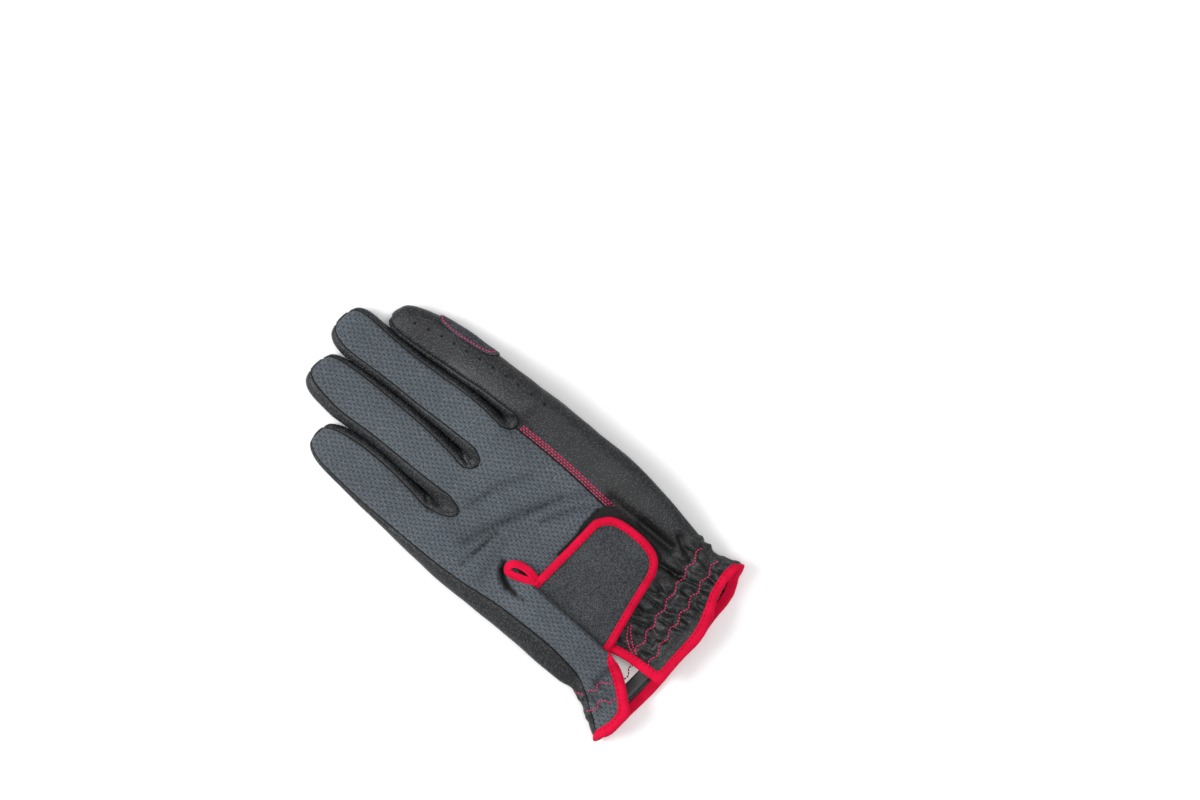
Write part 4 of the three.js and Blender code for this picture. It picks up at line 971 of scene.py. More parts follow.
def mesh_cloth():
    """Slate-grey knitted mesh with staggered pin holes."""
    nodes = Nodes("mesh cloth")
    dots = nodes.cells(MESH_PITCH, 0.75, MESH_TURN, flat=True)
    speck = nodes.ramp(dots, 0.1, 0.45, 0.6, 0.0)
    hole = nodes.maths("MAXIMUM", nodes.ramp(nodes.waves(MESH_WAVES), 0.6, 2.6), speck)
    yarn = nodes.noise(YARN_SIZE, 3.0, 0.65)
    patches = nodes.noise(26, 2.0)
    base = nodes.blend(nodes.ramp(patches, 0.3, 0.7), *MESH_SHADES)
    base = nodes.blend(nodes.ramp(yarn, 0.45, 0.68, 0.0, 0.5), base, YARN_GLINT)
    colour = nodes.blend(nodes.maths("MULTIPLY", hole, 0.85), base, MESH_HOLE)
    # painted shade in the bottoms of folds and gathers
    colour = nodes.crease_shaded(colour)
    height = nodes.maths("SUBTRACT", nodes.maths("MULTIPLY", yarn, 0.3), hole)
    return nodes.finish(
        Base_Color=colour,
        Roughness=0.9,
        Specular_IOR_Level=0.2,
        Sheen_Weight=0.1,
        Sheen_Roughness=0.5,
        Normal=nodes.bump(height, 0.25, 0.7),
    )


def leather(name, dark, light, grain=0.95, roughness=0.46):
    """Soft synthetic leather with a fine pebble grain."""
    nodes = Nodes(name)
    pebbles = nodes.cells(grain)
    creases = nodes.cells(grain * 2.3, 1.0, 0.4)
    fine = nodes.noise(LEATHER_FINE, 4.0, 0.7)
    patches = nodes.noise(16, 3.0)
    colour = nodes.blend(nodes.ramp(patches, 0.3, 0.72), dark, light)
    shine = nodes.maths("MULTIPLY", nodes.ramp(pebbles, 0.12, 0.5, 1.0, 0.0), nodes.ramp(fine, 0.32, 0.6))
    colour = nodes.blend(nodes.ramp(pebbles, 0.4, 0.75, 0.0, 0.75), colour, PEBBLE_DIP)
    colour = nodes.blend(nodes.maths("MULTIPLY", shine, 0.6), colour, PEBBLE_GLINT)
    # painted shade in the bottoms of folds and gathers
    colour = nodes.crease_shaded(colour)
    pits = nodes.ramp(pebbles, 0.2, 0.8, 1.0, 0.0)
    folds = nodes.ramp(creases, 0.3, 0.9, 0.5, 0.0)
    height = nodes.maths("ADD", nodes.maths("ADD", pits, folds), nodes.maths("MULTIPLY", fine, 0.6))
    gloss = nodes.ramp(patches, 0.25, 0.75, roughness + GLOSS_SPREAD, roughness - GLOSS_SPREAD)
    return nodes.finish(
        Base_Color=colour,
        Roughness=gloss,
        Specular_IOR_Level=0.36,
        Normal=nodes.bump(height, 0.14, 0.7),
    )


def tape(name, bright, deep):
    """Folded knit tape."""
    nodes = Nodes(name)
    weave = nodes.cells(WEAVE_SIZE, 0.35)
    broad = nodes.noise(7, 2.0)
    colour = nodes.blend(nodes.ramp(broad, 0.3, 0.7), bright, deep)
    colour = nodes.blend(nodes.ramp(weave, 0.35, 0.75, 0.0, 0.4), colour, deep)
    return nodes.finish(
        Base_Color=colour,
        Roughness=0.85,
        Specular_IOR_Level=0.12,
        Normal=nodes.bump(nodes.ramp(weave, 0.2, 0.8, 1.0, 0.0), 0.1, 0.6),
    )


def thread(name, colour):
    """Twisted thread."""
    nodes = Nodes(name)
    twist = nodes.noise(THREAD_TWIST, 1.0)
    shade = tuple(THREAD_SHADE * value for value in colour[:3]) + (1.0,)
    return nodes.finish(
        Base_Color=nodes.blend(nodes.ramp(twist, 0.3, 0.7), colour, shade),
        Roughness=0.75,
        Specular_IOR_Level=0.2,
        Normal=nodes.bump(twist, 0.05, 0.5),
    )


def pile():
    """Brushed loop pile of the fastening pad."""
    nodes = Nodes("loop pile")
    fuzz = nodes.noise(PILE_SIZE, 5.0, 0.75)
    colour = nodes.blend(nodes.ramp(fuzz, 0.35, 0.7), *PILE_SHADES)
    return nodes.finish(
        Base_Color=colour, Roughness=0.95, Sheen_Weight=0.12, Normal=nodes.bump(fuzz, 0.5, 0.9)
    )


def plain_weave(name, light, dark, roughness):
    """Smooth woven cloth."""
    nodes = Nodes(name)
    weave = nodes.cells(PLAIN_WEAVE_SIZE, 0.0, flat=True)
    share = nodes.ramp(weave, 0.25, 0.65)
    return nodes.finish(
        Base_Color=nodes.blend(share, light, dark), Roughness=roughness, Normal=nodes.bump(share, 0.06, 0.4)
    )


MESH_CLOTH = mesh_cloth()
LEATHER = leather("black leather", rgb(18, 19, 21), rgb(27, 29, 31))
PATCH_LEATHER = leather("patch leather", rgb(44, 46, 54), rgb(52, 54, 62), 0.8, 0.66)
TAB_LEATHER = leather("tab leather", rgb(48, 51, 55), rgb(57, 61, 65), 0.8, 0.74)
RED_TAPE = tape("red tape", rgb(210, 10, 57), rgb(188, 5, 47))
PINK_THREAD = thread("pink thread", rgb(230, 54, 108))
RED_THREAD = thread("red thread", rgb(158, 4, 34))
BLACK_THREAD = thread("black thread", rgb(14, 14, 15))
LOOP_PILE = pile()
LABEL_CLOTH = plain_weave("label cloth", rgb(252, 252, 250), rgb(232, 232, 230), 0.7)
SATIN = plain_weave("black satin", rgb(38, 38, 40), rgb(22, 22, 23), 0.32)


# Camera and light
IMAGE_WIDTH_PX = 1200
IMAGE_MM_PER_PX = 0.5
IMAGE_CENTRE = (64.7, 112.1, 0)
CAMERA_HEIGHT = 1.6
GLOVE_TURN = math.radians(-45)
FLOOR_REACH = 3
FLOOR_COLOUR = rgb(247, 247, 248)
SKY_LIGHT = 0.63
LIGHT_SIZE = 0.8
LIGHTS = table("name place watts", ("key", (-0.75, 0.85, 1.05), 19), ("fill", (0.3, -0.2, 1.5), 8))


def make_camera():
    camera = bpy.data.cameras.new("camera")
    camera.sensor_width = 36
    camera.lens = camera.sensor_width * CAMERA_HEIGHT / (IMAGE_WIDTH_PX * IMAGE_MM_PER_PX * MM)
    holder = put_in_scene("camera", camera)
    centre = to_frame(IMAGE_CENTRE)
    holder.location = (centre.x, centre.y, CAMERA_HEIGHT)
    holder.rotation_euler = (0, 0, GLOVE_TURN)
    bpy.context.scene.camera = holder


def area_light(name, place, watts):
    """A square light that shines on the glove's middle."""
    light = bpy.data.lights.new(name, "AREA")
    light.size = LIGHT_SIZE
    light.energy = watts
    holder = put_in_scene(name, light)
    holder.location = place
    holder.rotation_euler = (-Vector(place)).to_track_quat("-Z", "Y").to_euler()


def make_studio():
    floor = bpy.data.meshes.new("floor")
    corners = [(FLOOR_REACH * x, FLOOR_REACH * y, 0) for x, y in ((-1, -1), (1, -1), (1, 1), (-1, 1))]
    floor.from_pydata(corners, [], [(0, 1, 2, 3)])
    nodes = Nodes("floor")
    floor.materials.append(nodes.finish(Base_Color=FLOOR_COLOUR, Roughness=0.9))
    ground = put_in_scene("floor", floor)
    world = bpy.data.worlds.new("studio")
    world.use_nodes = True
    sky = world.node_tree.nodes["Background"].inputs
    sky["Color"].default_value = (1, 1, 1, 1)
    sky["Strength"].default_value = SKY_LIGHT
    bpy.context.scene.world = world
    bpy.context.scene.view_settings.view_transform = "Standard"
    for light in LIGHTS:
        area_light(**light)


# Fine form of the skin
# Depth of the groove along each seam
SEAM_GROOVES = {
    ("back_panel", "palm_panel"): 0.5,
    ("back_panel", "fourchette_ring_little"): 0.5,
    ("back_panel", "fourchette_middle_ring"): 0.5,
    ("back_panel", "fourchette_index_middle"): 0.5,
    ("leather_back", "fourchette_index_middle"): 0.5,
    ("palm_panel", "fourchette_ring_little"): 0.4,
    ("palm_panel", "fourchette_middle_ring"): 0.4,
    ("palm_panel", "fourchette_index_middle"): 0.4,
    ("back_panel", "leather_back"): 0.25,
}
GROOVE = {"width": 0.8, "bank": 0.15, "bank_at": 2.2, "bank_width": 1.3}
# Pressed folds: ends in half palm widths and palm lengths, width and depth in hand thicknesses
FOLDS = table(
    "x0 y0 x1 y1 width depth",
    (-0.6, 0.85, -0.253, 0.803, 0.17, 0.07),
    (-0.253, 0.803, 0.036, 0.753, 0.15, 0.07),
    (0.036, 0.753, 0.26, 0.71, 0.14, 0.06),
    (0.26, 0.71, 0.51, 0.64, 0.15, 0.05),
    (-0.576, 0.847, -0.428, 0.826, 0.08, 0.08),
    (-0.428, 0.826, -0.253, 0.8, 0.065, 0.1),
    (-0.253, 0.8, -0.105, 0.773, 0.05, 0.115),
    (-0.105, 0.773, 0.036, 0.75, 0.045, 0.12),
    (0.036, 0.75, 0.191, 0.72, 0.04, 0.115),
    (0.191, 0.72, 0.339, 0.699, 0.035, 0.09),
    (-0.3, 0.777, -0.4, 0.787, 0.035, 0.1),
    (-0.4, 0.787, -0.625, 0.791, 0.035, 0.12),
    (-0.625, 0.791, -0.75, 0.794, 0.045, 0.08),
    (-0.35, 0.782, -0.72, 0.79, 0.1, 0.05),
    (0.02, 0.693, 0.34, 0.636, 0.045, 0.08),
    (0.1, 0.675, 0.51, 0.585, 0.14, 0.05),
    (-0.72, 0.7, -0.35, 0.735, 0.16, 0.04),
    (-0.35, 0.935, -0.02, 0.903, 0.13, 0.05),
    (-0.3, 0.932, -0.02, 0.904, 0.04, 0.085),
    (-0.02, 0.903, 0.26, 0.842, 0.14, 0.05),
    (-0.02, 0.904, 0.14, 0.87, 0.04, 0.08),
    (0.62, 0.56, 0.66, 0.42, 0.17, 0.13),
    (0.66, 0.42, 0.69, 0.27, 0.16, 0.19),
    (0.82, 0.27, 0.74, 0.19, 0.12, 0.14),
    (0.5, 0.28, 0.56, 0.17, 0.1, 0.12),
    (-0.47, 0.685, -0.53, 0.67, 0.075, 0.16),
    (-0.53, 0.67, -0.583, 0.641, 0.085, 0.22),
    (-0.583, 0.641, -0.606, 0.606, 0.085, 0.22),
    (-0.606, 0.606, -0.6, 0.568, 0.065, 0.16),
    (-0.6, 0.568, -0.575, 0.53, 0.05, 0.08),
    (-0.409, 0.64, -0.426, 0.57, 0.05, 0.12),
    (-0.062, 1.074, -0.081, 1.033, 0.05, 0.07),
    (-0.563, 1.063, -0.626, 1.033, 0.045, 0.07),
    (-0.626, 1.033, -0.519, 0.963, 0.05, 0.05),
    (0.454, 1.037, 0.523, 1.049, 0.045, 0.06),
)
ROLL_HEIGHT = 3.8
ROLL_ENDS = {"start": 0.1, "rise": 0.03, "end": 0.535, "fall": 0.07}
ROLL_ROUND = 0.45
ROLL_EDGE = 1.5
# Rows of elastic: height at the middle of the hand, and slope
ELASTIC_ROWS = ((13.6, 0.23), (4.4, 0.21))
ELASTIC_LEVEL_LEFT_OF = -12
ELASTIC_REACH = 1.7
ELASTIC_PINCH = 0.6
GATHER = {
    "pitch": 5.2, "length": 14, "height": 2.6, "slant": 0.35, "sharp": 2.6, "power": 0.8, "layer": 4.7,
}
GATHER_RUN = {"start": -1, "rise": 6, "fade": 22, "fall": 15}
GATHER_RIGHT = {"clear": 6, "run": 4}
GATHER_LEFT = {"share": 0.6, "clear": 12, "run": 4, "fade": 16, "fall": 10}
PALM_GATHER = {
    "start": -4, "rise": 4, "fade": 14, "fall": 8, "end": 23, "depth": 1.3, "sharp": 3,
    "flat": 19, "flat_run": 5, "layer": 9.1,
}
PALM_ROWS = (8, 17)
# How the painted crease shade grows with a fold's depth and in the valleys between gathers
CREASE_SHADING = {"depth": 2.6, "power": 1.4, "gather_power": 1.5}
SOFTNESS = {"pitch": 13, "height": 0.35, "hem_run": 10, "layer": 1.3}
CRINKLE = {"across": 3.4, "along": 4.2, "height": 1.5, "layer": 2.2}
FACING = 0.5
HAND_END = {"start": 0.93, "run": 0.1}
LEVEL = 0.6
RELAX_ROUNDS = 24
CLEAR_OF_TABLE = 0.05


def eased(values):
    c = np.clip(values, 0, 1)
    return c * c * (3 - 2 * c)


def rising(values, start, run):
    """From 0 at the start to 1 after the run."""
    return eased((values - start) / run)


def line_at(y, rows, column):
    """A table's line across the hand, read for many values of y at once."""
    ys = np.arange(-12, 241)
    return np.interp(y, ys, [HALF * read(rows, "along", value / PALM_LENGTH, column) for value in ys])


def finder_of(places):
    finder = KDTree(len(places))
    for i, place in enumerate(places):
        finder.insert(place, i)
    finder.balance()
    return finder


def groove_depths(surface):
    """How deep each place lies below the panels beside its seam."""
    depth = np.zeros(len(surface.places))
    for pair, groove in SEAM_GROOVES.items():
        ids = sorted({i for edge in surface.seams.get(pair, []) for i in edge})
        finder = finder_of(surface.places[ids])
        away = np.array([finder.find(place)[2] for place in surface.places])
        dent = groove * np.exp(-((away / GROOVE["width"]) ** 2))
        dent = dent - GROOVE["bank"] * np.exp(-(((away - GROOVE["bank_at"]) / GROOVE["bank_width"]) ** 2))
        depth = np.where(np.abs(dent) > np.abs(depth), dent, depth)
    return depth


def relax(surface):
    """Evens out the skin away from its seams and edges."""
    one_way = surface.edges()
    starts, ends = np.concatenate(one_way), np.concatenate(one_way[::-1])
    links = np.bincount(ends, minlength=len(surface.places))
    held = np.zeros(len(surface.places), dtype=bool)
    for edges in list(surface.seams.values()) + [surface.rims]:
        held[np.array(edges).reshape(-1)] = True
    level = surface.normals[:, 2] > LEVEL
    for _ in range(RELAX_ROUNDS):
        for axis in range(3):
            values = surface.places[:, axis]
            around = np.bincount(ends, values[starts], len(values)) / links
            free = ~held if axis == 2 else ~held & level
            surface.places[:, axis] = np.where(free, 0.5 * (values + around), values)
    surface.renew_normals()


def fold_depths(x, y):
    """How deep the pressed folds are at each place."""
    depth = np.zeros(len(x))
    for fold in FOLDS:
        start = np.array([fold["x0"] * HALF, fold["y0"] * PALM_LENGTH])
        run = np.array([fold["x1"] * HALF, fold["y1"] * PALM_LENGTH]) - start
        t = np.clip(((x - start[0]) * run[0] + (y - start[1]) * run[1]) / (run @ run), 0, 1)
        away = np.hypot(x - start[0] - t * run[0], y - start[1] - t * run[1])
        dent = fold["depth"] * HAND_THICKNESS * np.exp(-((away / (fold["width"] * HAND_THICKNESS)) ** 2))
        depth = np.maximum(depth, dent)
    return depth


def roll_heights(x, y):
    """The strip of cloth that lies over the tab's sewn edge."""
    seam, edge = line_at(y, HAND, "seam"), line_at(y, VENT_LINE, "across")
    along = y / PALM_LENGTH
    ends = rising(along, ROLL_ENDS["start"], ROLL_ENDS["rise"])
    ends = ends * (1 - rising(along, ROLL_ENDS["end"], ROLL_ENDS["fall"]))
    across = np.sin(np.pi / 2 * np.clip((x - seam) / (ROLL_ROUND * (edge - seam)), 0, 1))
    return ROLL_HEIGHT * ends * across * (1 - rising(x - edge, -ROLL_EDGE, ROLL_EDGE))


def sampled_noise(x, y, across, along, layer):
    """Noise over the plan, with its sizes across and along the hand; each layer is another pattern."""
    return np.array([noise.noise(Vector((a / across, b / along, layer))) for a, b in zip(x, y)])


def gathers(x, y):
    """Puckers that elastic draws into the cuff: how full each place is, and how much of it applies."""
    near = y < GATHER_RUN["fade"] + GATHER_RUN["fall"]
    full = np.ones(len(x))
    slanted = x[near] + GATHER["slant"] * y[near]
    folds = np.abs(sampled_noise(slanted, y[near], GATHER["pitch"], GATHER["length"], GATHER["layer"]))
    full[near] = np.minimum(1, GATHER["sharp"] * folds) ** GATHER["power"]
    line = line_at(y, VENT_LINE, "across")
    rise = rising(y, GATHER_RUN["start"], GATHER_RUN["rise"])
    fall = 1 - rising(y, GATHER_RUN["fade"], GATHER_RUN["fall"])
    right = rising(x - line, GATHER_RIGHT["clear"], GATHER_RIGHT["run"]) * rise * fall
    left = GATHER_LEFT["share"] * rising(line - x, GATHER_LEFT["clear"], GATHER_LEFT["run"]) * rise
    return full, right + left * (1 - rising(y, GATHER_LEFT["fade"], GATHER_LEFT["fall"]))


def palm_dents(x, y):
    """Puckers under the wrist, which only go up from the table."""
    near = y < PALM_GATHER["end"]
    dents = np.zeros(len(x))
    folds = np.abs(sampled_noise(x[near], y[near], GATHER["pitch"], GATHER["length"], PALM_GATHER["layer"]))
    dents[near] = 1 - np.minimum(1, PALM_GATHER["sharp"] * folds)
    fade = rising(y, PALM_GATHER["start"], PALM_GATHER["rise"])
    fade = fade * (1 - rising(y, PALM_GATHER["fade"], PALM_GATHER["fall"]))
    beside = rising(np.abs(x - LABEL_CENTRE), PALM_GATHER["flat"], PALM_GATHER["flat_run"])
    return PALM_GATHER["depth"] * dents * fade * beside


def row_pinches(x, y):
    """How far each row of elastic pulls the cloth down."""
    pinched = np.zeros(len(x))
    for height, slope in ELASTIC_ROWS:
        away = y - height - slope * np.maximum(x, ELASTIC_LEVEL_LEFT_OF)
        pinched = np.maximum(pinched, np.exp(-((away / ELASTIC_REACH) ** 2)))
    return pinched


def shape_skin(surface):
    """Adds what is too fine for the solids, along the skin's own directions."""
    x, y = surface.places[:, 0], surface.places[:, 1]
    up = surface.normals[:, 2]
    top = eased(up / FACING)
    on_hand = top * (1 - rising(y / PALM_LENGTH, HAND_END["start"], HAND_END["run"]))
    full, share = gathers(x, y)
    folds = fold_depths(x, y)
    puffs = GATHER["height"] * share * full * (1 - ELASTIC_PINCH * row_pinches(x, y))
    soft = sampled_noise(x, y, SOFTNESS["pitch"], SOFTNESS["pitch"], SOFTNESS["layer"])
    crinkles = sampled_noise(x, y, CRINKLE["across"], CRINKLE["along"], CRINKLE["layer"])
    crinkles = CRINKLE["height"] * share * crinkles
    rise = -groove_depths(surface) + on_hand * (roll_heights(x, y) + puffs + crinkles) - top * folds
    rise -= eased(-up / FACING) * palm_dents(x, y)
    rise += SOFTNESS["height"] * soft * eased(y / SOFTNESS["hem_run"])
    # Painted shade: darker in the bottoms of the pressed folds and between the cuff's gathers, on faces
    # that look up
    dark = (folds / CREASE_SHADING["depth"]) ** CREASE_SHADING["power"] + share * (1 - full) ** CREASE_SHADING["gather_power"]
    surface.creases = top * np.clip(dark, 0, 1)
    surface.places += surface.normals * rise[:, None]
    surface.places[:, 2] = np.maximum(surface.places[:, 2], CLEAR_OF_TABLE)
    surface.renew_normals()


def carry_crease_shade(piece):
    """Gives a piece the skin's painted crease shade, place by place."""
    finder = finder_of(surface.places)
    depths = piece.data.attributes.new("painted_crease_shade", "FLOAT", "POINT")
    nearest = [finder.find(place)[1] for place in glove_places(piece.data)]
    depths.data.foreach_set("value", surface.creases[nearest])


def shell(places, normals, polygons, thickness, gap=0.0):
    """A closed wall: the polygons, the same again further in, and a strip round each open edge."""
    edges = {edge for polygon in polygons for edge in zip(polygon, polygon[1:] + polygon[:1])}
    rim = sorted((a, b) for a, b in edges if (b, a) not in edges)
    shift = np.zeros_like(places)
    for a, b in rim:
        run = places[b] - places[a]
        inwards = np.cross(normals[a], run)
        inwards /= max(np.linalg.norm(inwards), 1e-9)
        shift[a] += inwards
        shift[b] += inwards
    size = np.linalg.norm(shift, axis=1, keepdims=True)
    outer = places + gap * shift / np.maximum(size, 1e-9)
    inner = outer - normals * thickness
    count = len(places)
    walls = [list(polygon) for polygon in polygons]
    walls += [[i + count for i in reversed(polygon)] for polygon in polygons]
    walls += [[b, a, a + count, b + count] for a, b in rim]
    return np.vstack([outer, inner]), walls


def pick(surface, chosen):
    """The chosen quads of the surface, with their own numbering."""
    used, renamed = np.unique(surface.quads[chosen], return_inverse=True)
    return surface.places[used], surface.normals[used], renamed.reshape(-1, 4).tolist()


PANEL_GAP = 0.1
HOLE_CENTRE = Vector((0.2385 * HALF, 0.6 * PALM_LENGTH))
HOLE_TURN = math.radians(-4)
HOLE_NARROWING = 0.12


def hole_reach(x, y):
    """How far out a place is from the middle of the thumb hole: 1 is on its edge."""
    place = Matrix.Rotation(-HOLE_TURN, 2) @ (Vector((x, y)) - HOLE_CENTRE)
    v = place.y / (THUMB_HOLE_LENGTH / 2)
    narrowing = 1 - HOLE_NARROWING * clamp(v, -1, 1)
    return math.hypot(place.x / (THUMB_HOLE_WIDTH / 2 * narrowing), v)


def hole_place(angle, reach):
    """A plan place round the thumb hole, reach times as far out as its edge."""
    v = reach * math.sin(angle)
    x = THUMB_HOLE_WIDTH / 2 * (1 - HOLE_NARROWING * clamp(v, -1, 1)) * reach * math.cos(angle)
    return Matrix.Rotation(HOLE_TURN, 2) @ Vector((x, THUMB_HOLE_LENGTH / 2 * v)) + HOLE_CENTRE


def cut_hole(places, normals, polygons, faces_hole):
    """Takes out the polygons inside the thumb hole and draws the new edge onto its oval."""
    reach = np.array([hole_reach(*place[:2]) for place in places])
    facing = np.array([faces_hole(normal) for normal in normals])
    inside = [facing[p].all() and reach[p].mean() < 1 for p in polygons]
    kept = [p for p, cut in zip(polygons, inside) if not cut]
    gone = {i for p, cut in zip(polygons, inside) if cut for i in p}
    edge = {i for p in kept for i in p} & gone
    for i in edge:
        places[i, :2] = HOLE_CENTRE + (Vector(places[i, :2]) - HOLE_CENTRE) / max(reach[i], 1e-6)
    used = sorted({i for p in kept for i in p})
    renamed = {i: k for k, i in enumerate(used)}
    return places[used], normals[used], [[renamed[i] for i in p] for p in kept]


surface = Surface(make_skin(), 2)
relax(surface)
shape_skin(surface)
surface_tree = surface.tree()


def make_panels():
    def chosen(*names):
        return np.isin(surface.panels, [PANELS.index(name) for name in names])

    places, polygons = shell(*pick(surface, chosen("back_panel")), WALL, PANEL_GAP)
    mesh_nodes = ["back_panel", "back_little", "back_ring", "back_middle"]
    carry_crease_shade(add_piece("back_cloth", places, polygons, MESH_CLOTH, mesh_nodes))
    leather_nodes = ["leather_back", "palm_panel"]
    outside = cut_hole(*pick(surface, chosen(*leather_nodes)), lambda normal: normal[2] < -FACING)
    places, polygons = shell(*outside, WALL, PANEL_GAP)
    carry_crease_shade(add_piece("leather_shell", places, polygons, LEATHER, leather_nodes))
    for name in GUSSETS:
        places, polygons = shell(*pick(surface, chosen(name)), WALL, PANEL_GAP)
        add_piece(name.replace("fourchette", "gusset"), places, polygons, LEATHER, [name])


make_panels()


# Tapes
TAPE_OUT = SEAM_GAP + TAPE_WALL
TAPE_GAP = 0.6 * SEAM_GAP
TAPE_STEP = 0.8
TAB_MITRE = 3.2
HEM_MITRE = 13


def tape_section(thickness, depth):
    """Tape folded over an edge, as places in and out from it, with a dent along its stitches."""
    out, gap = TAPE_OUT, TAPE_GAP
    near = [
        (depth, gap), (depth + 0.15, 0.6 * out), (depth - 0.3, out), (0.74 * depth, 0.82 * out),
        (0.5 * depth, out), (0.2, 1.02 * out), (-0.62 * out, 0.66 * out), (-out, 0),
    ]
    far = [(a, -thickness - b) for a, b in reversed(near)]
    return near + far + [(-gap, -thickness - gap), (-gap, gap)]


def resample(step, *lines):
    """Lines at even steps along the first of them."""
    lines = [np.asarray(line, dtype=float) for line in lines]
    run = np.concatenate([[0], np.cumsum(np.linalg.norm(np.diff(lines[0], axis=0), axis=1))])
    marks = np.linspace(0, run[-1], max(2, round(run[-1] / step) + 1))
    return [np.stack([np.interp(marks, run, column) for column in line.T], axis=1) for line in lines]


def smoothed(values, reach):
    """A running average along a line, with its ends held."""
    weights = np.hanning(2 * reach + 3)[1:-1]
    weights /= weights.sum()
    padded = np.concatenate([np.repeat(values[:1], reach, 0), values, np.repeat(values[-1:], reach, 0)])
    return np.stack([np.convolve(column, weights, "valid") for column in padded.T], axis=1)


def unit(vectors):
    return vectors / np.maximum(np.linalg.norm(vectors, axis=-1, keepdims=True), 1e-9)


def tube_faces(rings, sides, closed=False):
    """The quads between rings of places, and the two ends unless the last ring joins the first."""
    polygons = []
    for i in range(rings if closed else rings - 1):
        a, b = i * sides, (i + 1) % rings * sides
        polygons += [[a + j, a + (j + 1) % sides, b + (j + 1) % sides, b + j] for j in range(sides)]
    if not closed:
        polygons += [list(reversed(range(sides))), list(range((rings - 1) * sides, rings * sides))]
    return polygons


def grid_faces(up, across):
    """The quads of a grid of places, row by row."""
    firsts = [i * across + j for i in range(up - 1) for j in range(across - 1)]
    return [[a, a + 1, a + across + 1, a + across] for a in firsts]


def sweep(places, inward, outward, section, closed=False):
    """A closed section drawn along a line, as places and polygons."""
    section = np.array(section)
    rings = places[:, None] + inward[:, None] * section[:, :1] + outward[:, None] * section[:, 1:]
    return rings.reshape(-1, 3), tube_faces(len(places), len(section), closed)


def faced_out(places, polygons):
    """Turns the polygons round if the body is inside out."""
    volume = 0.0
    for polygon in polygons:
        a = places[polygon[0]]
        for i, j in zip(polygon[1:], polygon[2:]):
            volume += a @ np.cross(places[i], places[j])
    return polygons if volume > 0 else [list(reversed(polygon)) for polygon in polygons]


def rim_loop(surface):
    """The open edge of the skin in order, with the wall on its left, from the top of the vent."""
    starts, ends = surface.edges()
    size = len(surface.places)
    open_edges = ~np.isin(starts * size + ends, ends * size + starts)
    follow = dict(zip(starts[open_edges].tolist(), ends[open_edges].tolist()))
    upper = (i for i in follow if surface.places[i, 2] > VENT_TOP_ABOVE)
    top = max(upper, key=lambda i: surface.places[i, 1])
    loop = [top]
    while follow[loop[-1]] != top:
        loop.append(follow[loop[-1]])
    return loop


VENT_TAPE_SKIP = 1.5
VENT_TAPE_TAPER = 8
TAPE_LEAST = 0.12
TAPE_LEAST_RISE = 0.5
NORMAL_REACH = 4
VENT_TOP_ABOVE = 6


def wrist_line():
    """The line that the wrist's tape follows, with its directions into the cloth and out of it."""
    loop = rim_loop(surface)
    places, normals = surface.places[loop], surface.normals[loop]
    places, normals = resample(TAPE_STEP, places, normals)
    skip = round(VENT_TAPE_SKIP / TAPE_STEP)
    places, normals = places[skip:-skip], normals[skip:-skip]
    places = smoothed(places, NORMAL_REACH)
    normals = unit(smoothed(normals, NORMAL_REACH))
    inward = unit(np.cross(normals, unit(np.gradient(places, axis=0))))
    free_edge = smoothed(places + inward * TAPE_DEPTH, round(HEM_MITRE / TAPE_STEP))
    inward = (free_edge - places) / TAPE_DEPTH
    along = np.arange(len(places)) * TAPE_STEP
    if places[0, 0] > places[-1, 0]:
        along = along[::-1]
    shown = mix(TAPE_LEAST, 1, eased(along / VENT_TAPE_TAPER))[:, None]
    return places, inward * shown, normals * mix(TAPE_LEAST_RISE, 1, shown)


WRIST_LINE = wrist_line()


def make_wrist_binding():
    places, polygons = sweep(*WRIST_LINE, tape_section(WALL, TAPE_DEPTH))
    places[:, 2] = np.maximum(places[:, 2], CLEAR_OF_TABLE)
    add_piece("wrist_binding", places, faced_out(places, polygons), RED_TAPE, ["hem_binding"])


make_wrist_binding()


# Closure
TAB_FOOT = (-0.4 * HALF, 0.1585 * PALM_LENGTH)
TAB_EDGES = {
    "top": table("share x y", (0, 0, 1), (0.5, 0.4, 1.01), (1, 0.8, 1.01)),
    "end": table(
        "share x y",
        (0, 0.83, 0.215), (0.14, 0.93, 0.29), (0.3, 0.985, 0.4), (0.5, 1, 0.55),
        (0.7, 0.975, 0.78), (0.86, 0.92, 0.92), (1, 0.8, 1.01),
    ),
    "bottom": table("share x y", (0, 0.02, 0), (0.5, 0.44, 0.11), (1, 0.83, 0.215)),
    "sewn": table("share x y", (0, 0.02, 0), (1, 0, 1)),
}
PAD_LIFT = SEAM_GAP
TAB_LIFT = PAD_LIFT + PAD_THICKNESS + SEAM_GAP + TAPE_WALL + SEAM_GAP
TAB_INSET = SEAM_GAP + TAPE_WALL
TAB_CENTRE = (TAB_FOOT[0] + 0.4 * TAB_LENGTH, TAB_FOOT[1] + 0.55 * TAB_HEIGHT)
TAB_TUCK = 1.6
TAB_BOUND_FROM = 0.03
TAB_TAPE_DEPTH = 2.6
TAB_DIVE = {"low": -1.1, "run": 9}
TAB_GRID = (72, 60)
TAB_SIDE_STEPS = 40
TAB_END_STEPS = 50
TAB_CROWN = 0.15
TAB_WAVES = {"pitch": 15, "height": 0.25}


def tab_edge(name, share):
    """A place on the tab's leather edge, which lies in from the tape's outer edge."""
    rows = TAB_EDGES[name]
    x = TAB_FOOT[0] + TAB_LENGTH * read(rows, "share", share, "x")
    y = TAB_FOOT[1] + TAB_HEIGHT * read(rows, "share", share, "y")
    towards = Vector((TAB_CENTRE[0] - x, TAB_CENTRE[1] - y)).normalized()
    bound = x > TAB_FOOT[0] + TAB_BOUND_FROM * TAB_LENGTH
    return Vector((x + (towards.x * TAB_INSET if bound else -TAB_TUCK), y + towards.y * TAB_INSET))


